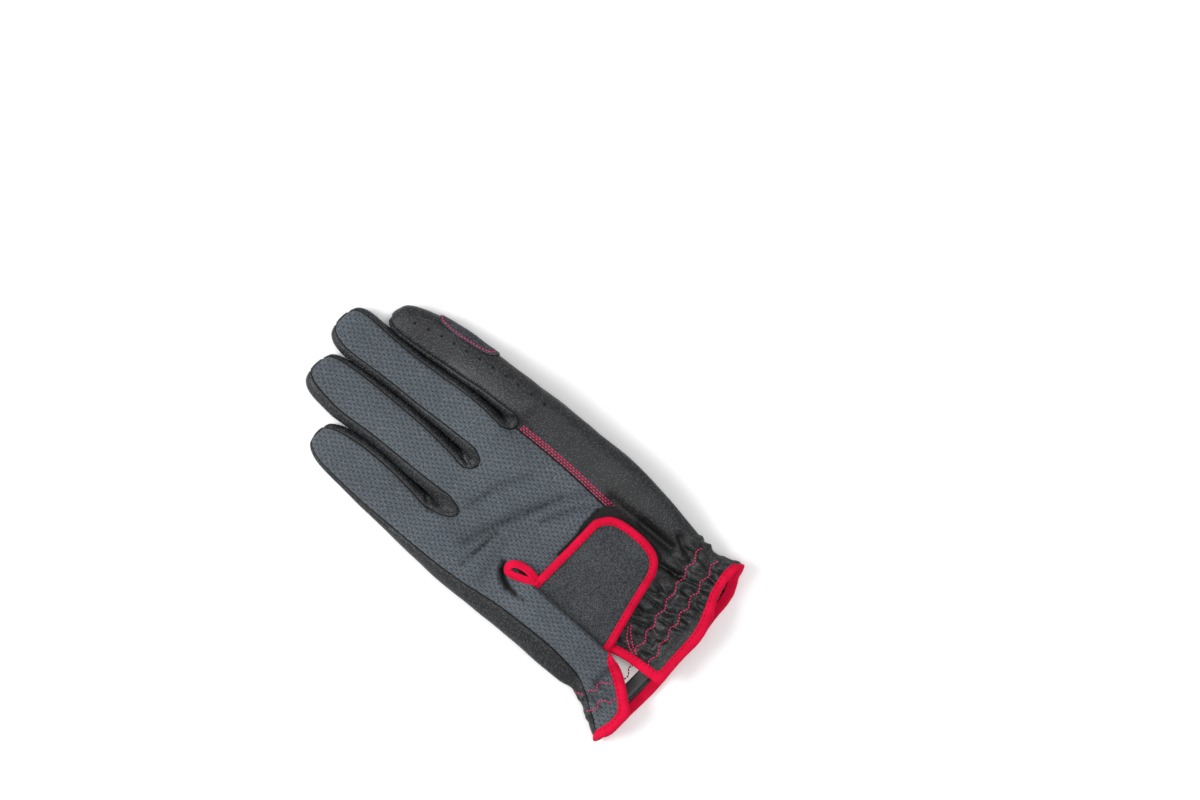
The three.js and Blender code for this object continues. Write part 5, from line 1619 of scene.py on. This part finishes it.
def tab_under(x, y):
    """Height of the tab's lower face: it comes up from under the roll and lies on the pad."""
    rise = ease((x - TAB_FOOT[0] + TAB_TUCK) / TAB_DIVE["run"])
    return back_height(x, y) + mix(TAB_DIVE["low"], TAB_LIFT, rise)


def noise_at(places, pitch, level=0):
    """Noise over the plan, cut at one level."""
    return np.array([noise.noise(Vector((x, y, level)) / pitch) for x, y, _ in places])


def patch_places(bottom, top, left, right, across, up):
    """A grid of places between four edges."""
    rows = []
    corner = [[bottom(0), bottom(1)], [top(0), top(1)]]
    for v in shares(up):
        row = []
        for u in shares(across):
            place = bottom(u).lerp(top(u), v) + left(v).lerp(right(v), u)
            place -= corner[0][0].lerp(corner[0][1], u).lerp(corner[1][0].lerp(corner[1][1], u), v)
            row.append(place)
        rows.append(row)
    return rows


PLATE_POWER = 8


def plate(rows, low, thickness, crown):
    """A plate over a grid of plan places: low gives its lower face, and its top edge falls by the crown."""
    up, across = len(rows), len(rows[0])
    top, base = [], []
    for i, row in enumerate(rows):
        for j, place in enumerate(row):
            u, v = j / (across - 1), i / (up - 1)
            falloff = (1 - (2 * u - 1) ** PLATE_POWER) * (1 - (2 * v - 1) ** PLATE_POWER)
            bottom = low(place.x, place.y)
            base.append((place.x, place.y, bottom))
            top.append((place.x, place.y, bottom + thickness - crown * (1 - falloff)))
    polygons = []
    count = up * across
    for quad in grid_faces(up, across):
        polygons += [quad, [k + count for k in reversed(quad)]]
    ring = list(range(across))
    ring += [i * across + across - 1 for i in range(1, up)]
    ring += [(up - 1) * across + j for j in reversed(range(across - 1))]
    ring += [i * across for i in reversed(range(1, up - 1))]
    for a, b in zip(ring, ring[1:] + ring[:1]):
        polygons.append([b, a, a + count, b + count])
    return np.array(top + base), polygons


def make_tab():
    rows = patch_places(
        lambda u: tab_edge("bottom", u), lambda u: tab_edge("top", u),
        lambda v: tab_edge("sewn", v), lambda v: tab_edge("end", v), *TAB_GRID,
    )
    places, polygons = plate(rows, tab_under, TAB_THICKNESS, TAB_CROWN)
    places[:, 2] += TAB_WAVES["height"] * noise_at(places, TAB_WAVES["pitch"])
    add_piece("tab_leather", places, polygons, TAB_LEATHER, ["closure_tab"])


TAB_SMOOTHING = 2


def tab_line():
    """The line of the tab's tape: along its bottom, round its end and back along its top."""
    side, end = shares(TAB_SIDE_STEPS), shares(TAB_END_STEPS)
    edge = [tab_edge("bottom", s) for s in side]
    edge += [tab_edge("end", s) for s in end[1:]]
    edge += [tab_edge("top", s) for s in reversed(side[:-1])]
    (places,) = resample(TAPE_STEP, [(p.x, p.y, tab_under(p.x, p.y) + TAB_THICKNESS) for p in edge])
    places = smoothed(places, TAB_SMOOTHING)
    up = np.tile([0.0, 0.0, 1.0], (len(places), 1))
    runs = unit(np.gradient(places, axis=0) * [1, 1, 0])
    inward = np.cross(up, runs)
    free = places + inward * TAB_TAPE_DEPTH
    free[:, 2] = [tab_under(x, y) + TAB_THICKNESS for x, y in free[:, :2]]
    free = smoothed(free, round(TAB_MITRE / TAPE_STEP))
    return places, (free - places) / TAB_TAPE_DEPTH, up


TAB_LINE = tab_line()


def make_tab_edge():
    places, polygons = sweep(*TAB_LINE, tape_section(TAB_THICKNESS, TAB_TAPE_DEPTH))
    add_piece("tab_edge", places, faced_out(places, polygons), RED_TAPE, ["tab_binding"])


PAD_CORNER = 8
PAD_CORNER_END = 0.98
PAD_TOP_SHARE = 1.05
PAD_SLOPE = {"drop": 1.7, "from": 0.35, "run": 0.4}
PAD_SINK = 0.15
PAD_CROWN = 0.3
PAD_FUZZ = {"pitch": 0.9, "height": 0.22, "level": 3}
PAD_ROWS = 56
PAD_COLUMNS = 48


def make_pad():
    left = TAB_FOOT[0] + TAB_LENGTH - PAD_LENGTH
    top = TAB_FOOT[1] + TAB_HEIGHT * PAD_TOP_SHARE
    bottom = top - PAD_HEIGHT
    rows = []
    for v in shares(PAD_ROWS):
        y = bottom + PAD_HEIGHT * v
        cut = max(0, (y - top) / PAD_CORNER + 1, (bottom - y) / PAD_CORNER + 1)
        loss = PAD_CORNER * (1 - math.sqrt(1 - min(cut, PAD_CORNER_END) ** 2))
        row = []
        for u in shares(PAD_COLUMNS):
            drop = PAD_SLOPE["drop"] * v * (1 - ease((u - PAD_SLOPE["from"]) / PAD_SLOPE["run"]))
            row.append(Vector((left + (PAD_LENGTH - loss) * u, y - drop)))
        rows.append(row)

    def under(x, y):
        return back_height(x, y) + PAD_LIFT - PAD_SINK

    places, polygons = plate(rows, under, PAD_THICKNESS + PAD_SINK, PAD_CROWN)
    upper = places[:len(places) // 2]
    upper[:, 2] += PAD_FUZZ["height"] * noise_at(upper, PAD_FUZZ["pitch"], PAD_FUZZ["level"])
    add_piece("loop_pile_pad", places, polygons, LOOP_PILE, ["loop_pad"])


LOOP_INSET = 0.6
LOOP_ROOT_SHARE = 0.985
LOOP_ROOT = Vector((TAB_FOOT[0] + LOOP_INSET, TAB_FOOT[1] + LOOP_ROOT_SHARE * TAB_HEIGHT))
RIBBON_FACE = math.radians(72)
RIBBON = {"width": 3.9, "thickness": 1}
LOOP_CLEAR = 1.2
LOOP_STEPS = 10
LOOP_OUTLINE = table(
    "across along rise",
    (0, 0, 0.6), (-0.2, 0.22, 0.3), (-0.39, 0.47, 0.1), (-0.52, 0.68, 0.1), (-0.54, 0.86, 0.25),
    (-0.33, 0.95, 0.5), (-0.09, 0.86, 0.6), (0.06, 0.66, 0.6), (0.13, 0.4, 0.6), (0.1, 0.14, 0.6),
)


def closed_curve(places, steps):
    """A smooth closed line through the places."""
    count = len(places)
    line = []
    for i in range(count):
        before, start, end, after = (places[(i + k) % count] for k in (-1, 0, 1, 2))
        for k in range(steps):
            t = k / steps
            line.append(
                0.5 * (2 * start + (end - before) * t + (2 * before - 5 * start + 4 * end - after) * t**2
                       + (3 * start - before - 3 * end + after) * t**3)
            )
    return np.array(line)


def ribbon_section():
    """Flat below, with a rounded bead along both edges above."""
    w, t = RIBBON["width"] / 2, RIBBON["thickness"] / 2
    right = [(w - 0.3, -t), (w, -t / 2), (w, t / 2), (w - 0.35, t), (0.4 * w, 0.75 * t)]
    left = [(-a, b) for a, b in reversed(right)]
    return left[-2:] + right + left[:-2]


def make_ribbon_loop():
    stations = []
    for row in LOOP_OUTLINE:
        x = LOOP_ROOT.x + row["across"] * LOOP_WIDTH
        y = LOOP_ROOT.y + row["along"] * LOOP_LENGTH
        stations.append(np.array((x, y, back_height(x, y) + LOOP_CLEAR + TAB_LIFT * row["rise"])))
    line = closed_curve(stations, LOOP_STEPS)
    run = np.roll(line, -1, axis=0) - np.roll(line, 1, axis=0)
    outward = unit(np.stack([run[:, 1], -run[:, 0], np.zeros(len(run))], axis=1))
    outward *= np.sign(np.sum(outward * (line - line.mean(axis=0)), axis=1))[:, None]
    up = np.array([0, 0, 1])
    width = up * math.cos(RIBBON_FACE) - outward * math.sin(RIBBON_FACE)
    face = up * math.sin(RIBBON_FACE) + outward * math.cos(RIBBON_FACE)
    places, polygons = sweep(line, width, face, ribbon_section(), closed=True)
    add_piece("ribbon_loop", places, faced_out(places, polygons), RED_TAPE, ["pull_loop"])


make_tab()
make_tab_edge()
make_pad()
make_ribbon_loop()


# Label and tape inside the wrist
WRIST_TAPE_LEFT = LABEL_CENTRE - WRIST_TAPE_LENGTH / 2
WRIST_TAPE_BOTTOM = -3.2
WRIST_TAPE_THICKNESS = 0.7
LABEL_THICKNESS = 0.5
INNER_CROWN = 0.1
INNER_GRID = (40, 24)


def inner_height(x, y):
    return palm_height(x, y) + WALL + SEAM_GAP


def make_inner_plate(name, corner, size, thickness, material, node):
    (left, bottom), (width, height) = corner, size
    across, up = (shares(count) for count in INNER_GRID)
    rows = [[Vector((left + width * u, bottom + height * v)) for u in across] for v in up]
    places, polygons = plate(rows, inner_height, thickness, INNER_CROWN)
    add_piece(name, places, polygons, material, [node])


make_inner_plate(
    "blank_label", (LABEL_LEFT, LABEL_BOTTOM), (LABEL_WIDTH, LABEL_HEIGHT), LABEL_THICKNESS,
    LABEL_CLOTH, "care_label",
)
make_inner_plate(
    "satin_tape", (WRIST_TAPE_LEFT, WRIST_TAPE_BOTTOM), (WRIST_TAPE_LENGTH, WRIST_TAPE_WIDTH),
    WRIST_TAPE_THICKNESS, SATIN, "wrist_tape",
)


# Thumb
THUMB_TOP_GAP = 0.6
THUMB_PATCH_START = 0.6
THUMB_RISE_RUN = 0.08
THUMB_PATCH_SHARE = 0.815
THUMB_ROWS = 76
THUMB_SIDES = 44
THUMB_POWER = 10 / 3
THUMB_FLATNESS = 1.12
THUMB_TIP = 1.2
THUMB_LEAST = 1
THUMB_COVER = 3


def thumb_rise(y):
    """The thumb's leather rises off the table where its pad starts."""
    past = (y - THUMB_START) / THUMB_LENGTH - THUMB_PATCH_START
    return (PATCH_THICKNESS + SEAM_GAP) * ease(past / THUMB_RISE_RUN + 1)


def make_thumb():
    """A flattened sock below the palm, open to it through the thumb hole."""
    places = []
    for i in range(THUMB_ROWS):
        along = 0.5 - 0.5 * math.cos(math.pi * i / (THUMB_ROWS - 1))
        y = THUMB_START + THUMB_LENGTH * along
        centre, reach = thumb_at(y)
        low = thumb_rise(y) + CLEAR_OF_TABLE
        cover = min(lift(y - THUMB_COVER), lift(y + THUMB_COVER)) - THUMB_TOP_GAP
        high = max(low + THUMB_LEAST, cover)
        for angle in turns(THUMB_SIDES, 0.5):
            across, rise = squared(angle, THUMB_POWER)
            rise = clamp(THUMB_FLATNESS * rise, -1, 1)
            places.append((centre + max(THUMB_TIP, reach) * across, y, mix(low, high, (1 + rise) / 2)))
    places = np.array(places)
    polygons = faced_out(places, tube_faces(THUMB_ROWS, THUMB_SIDES))
    normals = mesh_normals(places, polygons)
    top = cut_hole(places, normals, polygons, lambda normal: normal[2] > LEVEL)
    places, walls = shell(*top, WALL)
    add_piece("thumb_leather", places, walls, LEATHER, ["thumb"])


def thumb_pad_place(angle, share):
    """A place on the thumb's oval pad, from its middle to its edge."""
    y = THUMB_START + THUMB_LENGTH * THUMB_PATCH_SHARE
    centre, _ = thumb_at(y)
    span = 0.24 * THUMB_WIDTH
    lean = math.atan2(thumb_at(y + span)[0] - thumb_at(y - span)[0], 2 * span)
    place = Vector((THUMB_PATCH_WIDTH * math.cos(angle), THUMB_PATCH_LENGTH * math.sin(angle))) * share / 2
    place.rotate(Matrix.Rotation(-lean, 2))
    return place + Vector((centre, y))


THUMB_PAD_SIDES = 72
THUMB_PAD_RINGS = table(
    "share height",
    (0.35, 0.2), (0.7, 0.2), (0.88, 0.22), (0.965, 0.3), (1, 0.55), (0.99, 0.9), (0.9, PATCH_THICKNESS),
)


def make_thumb_pad():
    angles = turns(THUMB_PAD_SIDES)
    places = []
    for ring in THUMB_PAD_RINGS:
        places += [(*thumb_pad_place(angle, ring["share"]), ring["height"]) for angle in angles]
    places = np.array(places)
    polygons = faced_out(places, tube_faces(len(THUMB_PAD_RINGS), THUMB_PAD_SIDES))
    add_piece("thumb_pad", places, polygons, PATCH_LEATHER, ["thumb_patch"])


make_thumb()
make_thumb_pad()


# Second layer on the index finger
PAD_EDGE = table(
    "y x",
    (163.2, 45.2), (164.2, 44.2), (167, 42), (172, 40), (180, 38),
    (188, 36.6), (195, 36.3), (197.3, 37.6), (198, 39.3),
)
PAD_ENDS = (PAD_EDGE[0]["y"], PAD_EDGE[-1]["y"])
PAD_FAR = 0.9
PAD_ROUNDING = (0.55, 0.85, 1.0)
PAD_WALL = 0.5


def pad_place(y, share):
    """A place on the index finger, from the pad's edge on its back round to the far side of its palm."""
    section = finger_section(INDEX, y)
    power = section["power"]
    edge = clamp((read(PAD_EDGE, "y", y, "x") - section["centre"]) / section["reach"], -1, 1)
    start = math.acos(edge ** (power / 2))
    end = -math.pi + math.acos(PAD_FAR ** (power / 2))
    x, height = section_place(section, mix(start, end, share))
    return Vector((x, y, height))


def make_index_pad():
    across, up = 70, 60
    places, normals = [], []
    for v in shares(up):
        y = mix(*PAD_ENDS, v)
        for u in shares(across):
            place, normal, _, _ = surface_tree.find_nearest(pad_place(y, u))
            places.append(place)
            normals.append(normal)
    places, normals = np.array(places), np.array(normals)
    normals = unit(smoothed_grid(normals.reshape(up, across, 3)).reshape(-1, 3))
    polygons = [[a, d, c, b] for a, b, c, d in grid_faces(up, across)]
    from_end, from_side = (np.minimum(np.arange(count), np.arange(count)[::-1]) for count in (up, across))
    from_edge = np.minimum.outer(from_end, from_side).reshape(-1)
    height = PATCH_THICKNESS * np.interp(from_edge, range(len(PAD_ROUNDING)), PAD_ROUNDING)
    outer = places + normals * height[:, None]
    shelled, walls = shell(outer, normals, faced_out_sheet(outer, normals, polygons), PAD_WALL)
    add_piece("index_pad", shelled, walls, PATCH_LEATHER, ["index_patch"])


def smoothed_grid(values):
    for _ in range(2):
        values = np.concatenate([values[:1], (values[:-2] + values[1:-1] + values[2:]) / 3, values[-1:]])
        middle = (values[:, :-2] + values[:, 1:-1] + values[:, 2:]) / 3
        values = np.concatenate([values[:, :1], middle, values[:, -1:]], axis=1)
    return values


def faced_out_sheet(places, normals, polygons):
    """Turns the polygons of an open sheet so that they face the way its normals do."""
    a, b, c = (places[polygons[len(polygons) // 2][k]] for k in range(3))
    facing = np.cross(b - a, c - a) @ normals[polygons[len(polygons) // 2][0]]
    return polygons if facing > 0 else [list(reversed(polygon)) for polygon in polygons]


make_index_pad()


# Threads, laid on the pieces made so far
def landing_tree(*names):
    places, polygons = [], []
    for name in names:
        mesh = bpy.data.objects[name].data
        start = len(places)
        places += glove_places(mesh)
        polygons += [[start + i for i in polygon.vertices] for polygon in mesh.polygons]
    return BVHTree.FromPolygons(places, polygons)


DROP_FROM = 60
LIFT_FROM = -20


def circle(centre, across, up, reach, sides):
    """Places on a circle whose plane is given by two directions."""
    return [centre + reach * (across * math.cos(angle) + up * math.sin(angle)) for angle in turns(sides)]


def landed(tree, line, below=False):
    """Drops plan places onto a tree, from above or from below, and gives places and normals."""
    places, normals = [], []
    for x, y in line:
        start, way = (LIFT_FROM, 1) if below else (DROP_FROM, -1)
        place, normal, _, _ = tree.ray_cast((x, y, start), (0, 0, way))
        if place is not None:
            places.append(place)
            normals.append(normal if normal.z * way < 0 else -normal)
    return np.array(places), np.array(normals)


STITCH_SIDES = 6
STITCH_RINGS = ((-0.84, 0.72), (-0.4, 1), (0.4, 1), (0.84, 0.72))
STITCH_SINK = 0.4
STITCH_RISE = {"middle": 0.7, "fall": 0.9}
STITCH_STEP = 0.25
LANDING_STEP = 0.5


class Sewing:
    """Stitches of one colour, gathered into one piece."""

    def __init__(self):
        self.places, self.polygons = [], []

    def stitch(self, start, end, up, radius):
        """One stitch: a fat thread whose ends go into the cloth."""
        first = len(self.places)
        along = end - start
        side = unit(np.cross(along, up))
        sink = up * STITCH_SINK * radius
        self.places.append(start - sink)
        for t, size in STITCH_RINGS:
            rise = STITCH_RISE["middle"] - STITCH_RISE["fall"] * t**4
            centre = start + along * (t + 1) / 2 + up * radius * rise
            self.places += circle(centre, side, up, radius * size, STITCH_SIDES)
        self.places.append(end - sink)
        last = len(self.places) - 1
        for k in range(STITCH_SIDES):
            follow = (k + 1) % STITCH_SIDES
            self.polygons.append([first, first + 1 + follow, first + 1 + k])
            for ring in range(len(STITCH_RINGS) - 1):
                a = first + 1 + ring * STITCH_SIDES
                b = a + STITCH_SIDES
                self.polygons.append([a + k, a + follow, b + follow, b + k])
            self.polygons.append([last, last - STITCH_SIDES + k, last - STITCH_SIDES + follow])

    def run(self, places, normals, length, gap, radius):
        """A row of stitches along places on the cloth."""
        if len(places) < 2:
            return
        places, normals = resample(STITCH_STEP, places, normals)
        normals = unit(smoothed(normals, NORMAL_REACH))
        span, pause = max(1, round(length / STITCH_STEP)), round(gap / STITCH_STEP)
        for i in range(0, len(places) - span, span + pause):
            self.stitch(places[i], places[i + span], normals[i + span // 2], radius)

    def lay(self, tree, line, length, gap, radius, below=False):
        """A row of stitches along plan places, dropped onto a tree."""
        (fine,) = resample(LANDING_STEP, line)
        self.run(*landed(tree, fine, below), length, gap, radius)

    def finish(self, name, material):
        places = np.array(self.places)
        places[:, 2] = np.maximum(places[:, 2], 0)
        add_piece(name, places, self.polygons, material)


def ordered_lines(edges):
    """Joins single edges into lines of indices."""
    links = {}
    for a, b in edges:
        links.setdefault(a, []).append(b)
        links.setdefault(b, []).append(a)
    lines = []
    while links:
        ends = [i for i, near in links.items() if len(near) == 1]
        line = [ends[0] if ends else next(iter(links))]
        while line[-1] in links:
            near = links[line[-1]]
            follow = near.pop()
            if not near:
                del links[line[-1]]
            links[follow].remove(line[-1])
            if not links[follow]:
                del links[follow]
            line.append(follow)
        lines.append(line)
    return lines


def seam_line(pair):
    """The longest line of a seam, from the fingers down."""
    line = max(ordered_lines(surface.seams[pair]), key=len)
    places, normals = surface.places[line], surface.normals[line]
    return (places, normals) if places[0][1] > places[-1][1] else (places[::-1], normals[::-1])


ZIGZAG = {"period": 9.1, "swing": 1.4, "step": 0.5}
ELASTIC_ENDS = (-11.5, 50)
PALM_ROW_ENDS = (-0.86 * HALF, 0.84 * HALF)
ELASTIC_STITCH = {"length": 1.2, "gap": 0.6, "radius": 0.32}
SEAM_STITCH = {"length": 1.4, "gap": 0.5, "radius": 0.3}
TAPE_STITCH = {"length": 1.5, "gap": 1, "radius": 0.2}
TAPE_STITCH_SHARE = 0.76
TAPE_FACING = 0.3
PAD_STITCH = {"length": 1.2, "gap": 0.4, "radius": 0.25}
LABEL_STITCH = {"length": 1.5, "gap": 0.25, "radius": 0.32}
SEAM_SMOOTHING = 3
TRIPLE_ROWS = ((1.0, 67), (2.2, 66), (3.3, 60.5))
LITTLE_SIDE_ROWS = (
    ((-46.8, 18.2), (-45.9, 16.2), (-44.2, 13.4)),
    ((-41.6, 14.6), (-38.6, 11.3), (-35.8, 13.4), (-33.3, 12), (-31.6, 8.4), (-29.4, 8.6)),
    ((-49.4, 7.4), (-47.6, 6.6), (-45, 4.4), (-42, 6.6), (-39.6, 6), (-37.8, 1.8), (-34, 2.2)),
)
UNDER_TAB_ROWS = (
    ((-13, 11.6), (-11.4, 15.7), (-8.9, 19.9), (-4.8, 22.9)),
    ((-11.9, 9.8), (-10, 14.4), (-6.8, 19.2), (-3, 22.4)),
)
INDEX_PAD_ROW = (
    (45.4, 165.6), (43.1, 167), (41.1, 172), (39.1, 180),
    (37.7, 188), (37.4, 195), (38.7, 197.3), (39.2, 196.2),
)
PAD_END_SHARES = (0.045, 0.955)
THUMB_PAD_ROW = 0.86
THUMB_HOLE_ROWS = (1.07, 1.15)
LABEL_ROW = ((-25.5, 5.1), (-23.6, 4.4), (-21.6, 5.2), (-20.4, 7.2), (-18.6, 7.4), (-16.8, 6.3))


def zigzag(start, end, line):
    """An elastic row's plan places: they swing to and fro about a line."""
    xs = np.arange(start, end, ZIGZAG["step"])
    phase = (xs / ZIGZAG["period"]) % 1
    wave = np.where(phase < 0.5, 1 - 4 * phase, 4 * phase - 3)
    return np.stack([xs, line(xs) + ZIGZAG["swing"] * wave], axis=1)


def palm_hem(xs):
    return np.array([hem_y(x, "palm") for x in xs])


def along_tape(line, depth, upper=True):
    """Plan places in from a tape's edge, where its stitches run, on its upper or its lower side."""
    places, inward, outward = line
    side = (outward[:, 2] if upper else -outward[:, 2]) > TAPE_FACING
    stitched = (places + inward * (TAPE_STITCH_SHARE * depth))[:, :2]
    cuts = np.nonzero(np.diff(side))[0] + 1
    runs = zip(np.split(stitched, cuts), np.split(side, cuts))
    return [run for run, chosen in runs if chosen[0] and len(run) > 3]


def sew():
    skin_tree = landing_tree("back_cloth", "leather_shell")
    tape_tree = landing_tree("wrist_binding")
    tab_tree = landing_tree("tab_edge")
    pink, red = Sewing(), Sewing()
    for height, slope in ELASTIC_ROWS:
        pink.lay(skin_tree, zigzag(*ELASTIC_ENDS, lambda xs: height + slope * xs), **ELASTIC_STITCH)
    for distance in PALM_ROWS:
        row = zigzag(*PALM_ROW_ENDS, lambda xs: palm_hem(xs) + distance)
        pink.lay(skin_tree, row, below=True, **ELASTIC_STITCH)
    for row in LITTLE_SIDE_ROWS + UNDER_TAB_ROWS:
        pink.lay(skin_tree, row, **ELASTIC_STITCH)
    red.lay(landing_tree("blank_label"), LABEL_ROW, **LABEL_STITCH)

    places, _ = seam_line(("back_panel", "leather_back"))
    (places,) = resample(1, places)
    places = smoothed(places, SEAM_SMOOTHING)
    sideways = unit(np.gradient(places[:, :2], axis=0))
    sideways = np.stack([-sideways[:, 1], sideways[:, 0]], axis=1)
    for k, (offset, end) in enumerate(TRIPLE_ROWS):
        row = (places[:, :2] + sideways * offset)[2 + k % 2:]
        pink.lay(skin_tree, row[row[:, 1] > end], **SEAM_STITCH)

    for run in along_tape(TAB_LINE, TAB_TAPE_DEPTH):
        red.lay(tab_tree, run, **TAPE_STITCH)
    for upper in (True, False):
        for run in along_tape(WRIST_LINE, TAPE_DEPTH, upper):
            red.lay(tape_tree, run, **TAPE_STITCH, below=not upper)

    pad_tree = landing_tree("index_pad")
    pink.lay(pad_tree, INDEX_PAD_ROW, **PAD_STITCH)
    for share in PAD_END_SHARES:
        y = mix(*PAD_ENDS, share)
        edge = finger_section(INDEX, y)["edge"]
        under = [place.xy for place in (pad_place(y, u) for u in shares(60)) if place.z < edge - 1]
        pink.lay(pad_tree, under, below=True, **PAD_STITCH)
    thumb_row = [thumb_pad_place(2 * math.pi * k / 90, THUMB_PAD_ROW) for k in range(91)]
    pink.lay(landing_tree("thumb_pad"), thumb_row, below=True, **PAD_STITCH)
    for reach in THUMB_HOLE_ROWS:
        oval = [hole_place(math.radians(2 * k), reach) for k in range(181)]
        pink.lay(landing_tree("leather_shell"), oval, below=True, **PAD_STITCH)
    pink.finish("pink_stitches", PINK_THREAD)
    red.finish("tape_stitches", RED_THREAD)


sew()


# The dark cord that shows in every sewn seam
SEAM_CORD = {"radius": 0.42, "depth": 0.2, "sides": 8, "step": 0.8, "least": 4}


def make_seam_cords():
    places, polygons = [], []
    radius = SEAM_CORD["radius"]
    section = [(radius * math.cos(angle), radius * math.sin(angle)) for angle in turns(SEAM_CORD["sides"])]
    for pair in SEAM_GROOVES:
        for line in ordered_lines(surface.seams.get(pair, [])):
            if len(line) < SEAM_CORD["least"]:
                continue
            closed = line[0] == line[-1]
            centre, up = resample(SEAM_CORD["step"], surface.places[line], surface.normals[line])
            up = unit(up)
            run = unit(np.gradient(centre, axis=0))
            side = unit(np.cross(run, up))
            if closed:
                centre, up, side = centre[:-1], up[:-1], side[:-1]
            tube, walls = sweep(centre - up * SEAM_CORD["depth"], side, up, section, closed)
            start = len(places)
            places += tube.tolist()
            polygons += [[start + i for i in wall] for wall in faced_out(tube, walls)]
    add_piece("seam_cords", places, polygons, BLACK_THREAD)


make_seam_cords()


# Pierced holes along the index finger
HOLE_PLACES = (
    (26.8, 204), (29.2, 197), (31.5, 190), (33.3, 183), (35, 176), (36.9, 168.7),
    (38.5, 161), (40.2, 153.5), (41.5, 146), (42.7, 138.2), (44, 130),
)
PIERCED_RINGS = table("reach height", (0.95, 0), (0.85, 0.09), (0.75, 0.03))
PIERCED_INSIDE = {"reach": 0.8, "height": 0.035}
PIERCED_SIDES = 14


def make_pierced_holes():
    """Each hole's dark inside, painted as a black disc on the leather: partly the black leather beyond,
    partly painted shade of the hollow finger; with the leather's edge turned in round it.
    """
    rims, insides, rim_faces, inside_faces = [], [], [], []
    centres, normals = landed(landing_tree("leather_shell"), HOLE_PLACES)
    quads = tube_faces(len(PIERCED_RINGS), PIERCED_SIDES)[:-2]
    for centre, normal in zip(centres, normals):
        across = unit(np.cross(normal, [0, 1, 0]))
        along = np.cross(normal, across)
        start = len(rims)
        for ring in PIERCED_RINGS:
            rims += circle(centre + ring["height"] * normal, across, along, ring["reach"], PIERCED_SIDES)
        rim_faces += [[start + b, start + a, start + d, start + c] for a, b, c, d in quads]
        start = len(insides)
        middle = centre + PIERCED_INSIDE["height"] * normal
        insides += circle(middle, across, along, PIERCED_INSIDE["reach"], PIERCED_SIDES)
        inside_faces.append([start + k for k in reversed(range(PIERCED_SIDES))])
    add_piece("hole_rims", rims, rim_faces, LEATHER)
    # black discs: painted shade of the holes' hollows, partly the black leather beyond
    add_piece("hole_insides", insides, inside_faces, BLACK_THREAD)


make_pierced_holes()


# Loose fibres along the edge of the pad
FIBRES = 2600
FIBRE = {"least": 0.6, "most": 1.9, "radius": 0.075}
FIBRE_ROOT = ((-0.6, 0.6), (-0.6, 0.6), (-0.5, 0.1))
FIBRE_LEAN = ((-0.8, 0.8), (-0.8, 0.8), (-0.1, 0.7))
SEED = 7


def make_fibres():
    rng = random.Random(SEED)

    def drawn(ranges):
        return Vector([rng.uniform(low, high) for low, high in ranges])

    mesh = bpy.data.objects["loop_pile_pad"].data
    edge = glove_places(mesh)[:len(mesh.vertices) // 2]
    rim = edge[-PAD_COLUMNS:] + edge[PAD_COLUMNS - 1::PAD_COLUMNS]
    places, polygons = [], []
    middle = Vector((*TAB_CENTRE, rim[0].z))
    for _ in range(FIBRES):
        root = rng.choice(rim) + drawn(FIBRE_ROOT)
        way = (root - middle).normalized() + drawn(FIBRE_LEAN)
        tip = root + way.normalized() * rng.uniform(FIBRE["least"], FIBRE["most"])
        side = way.cross(Vector((0, 0, 1))).normalized() * FIBRE["radius"]
        start = len(places)
        places += [root + side, root - side, root + Vector((0, 0, 2 * FIBRE["radius"])), tip]
        polygons += [[start + i for i in face] for face in ((0, 1, 2), (0, 3, 1), (1, 3, 2), (2, 3, 0))]
    add_piece("pad_fibres", places, polygons, LOOP_PILE)


make_fibres()
make_camera()
make_studio()
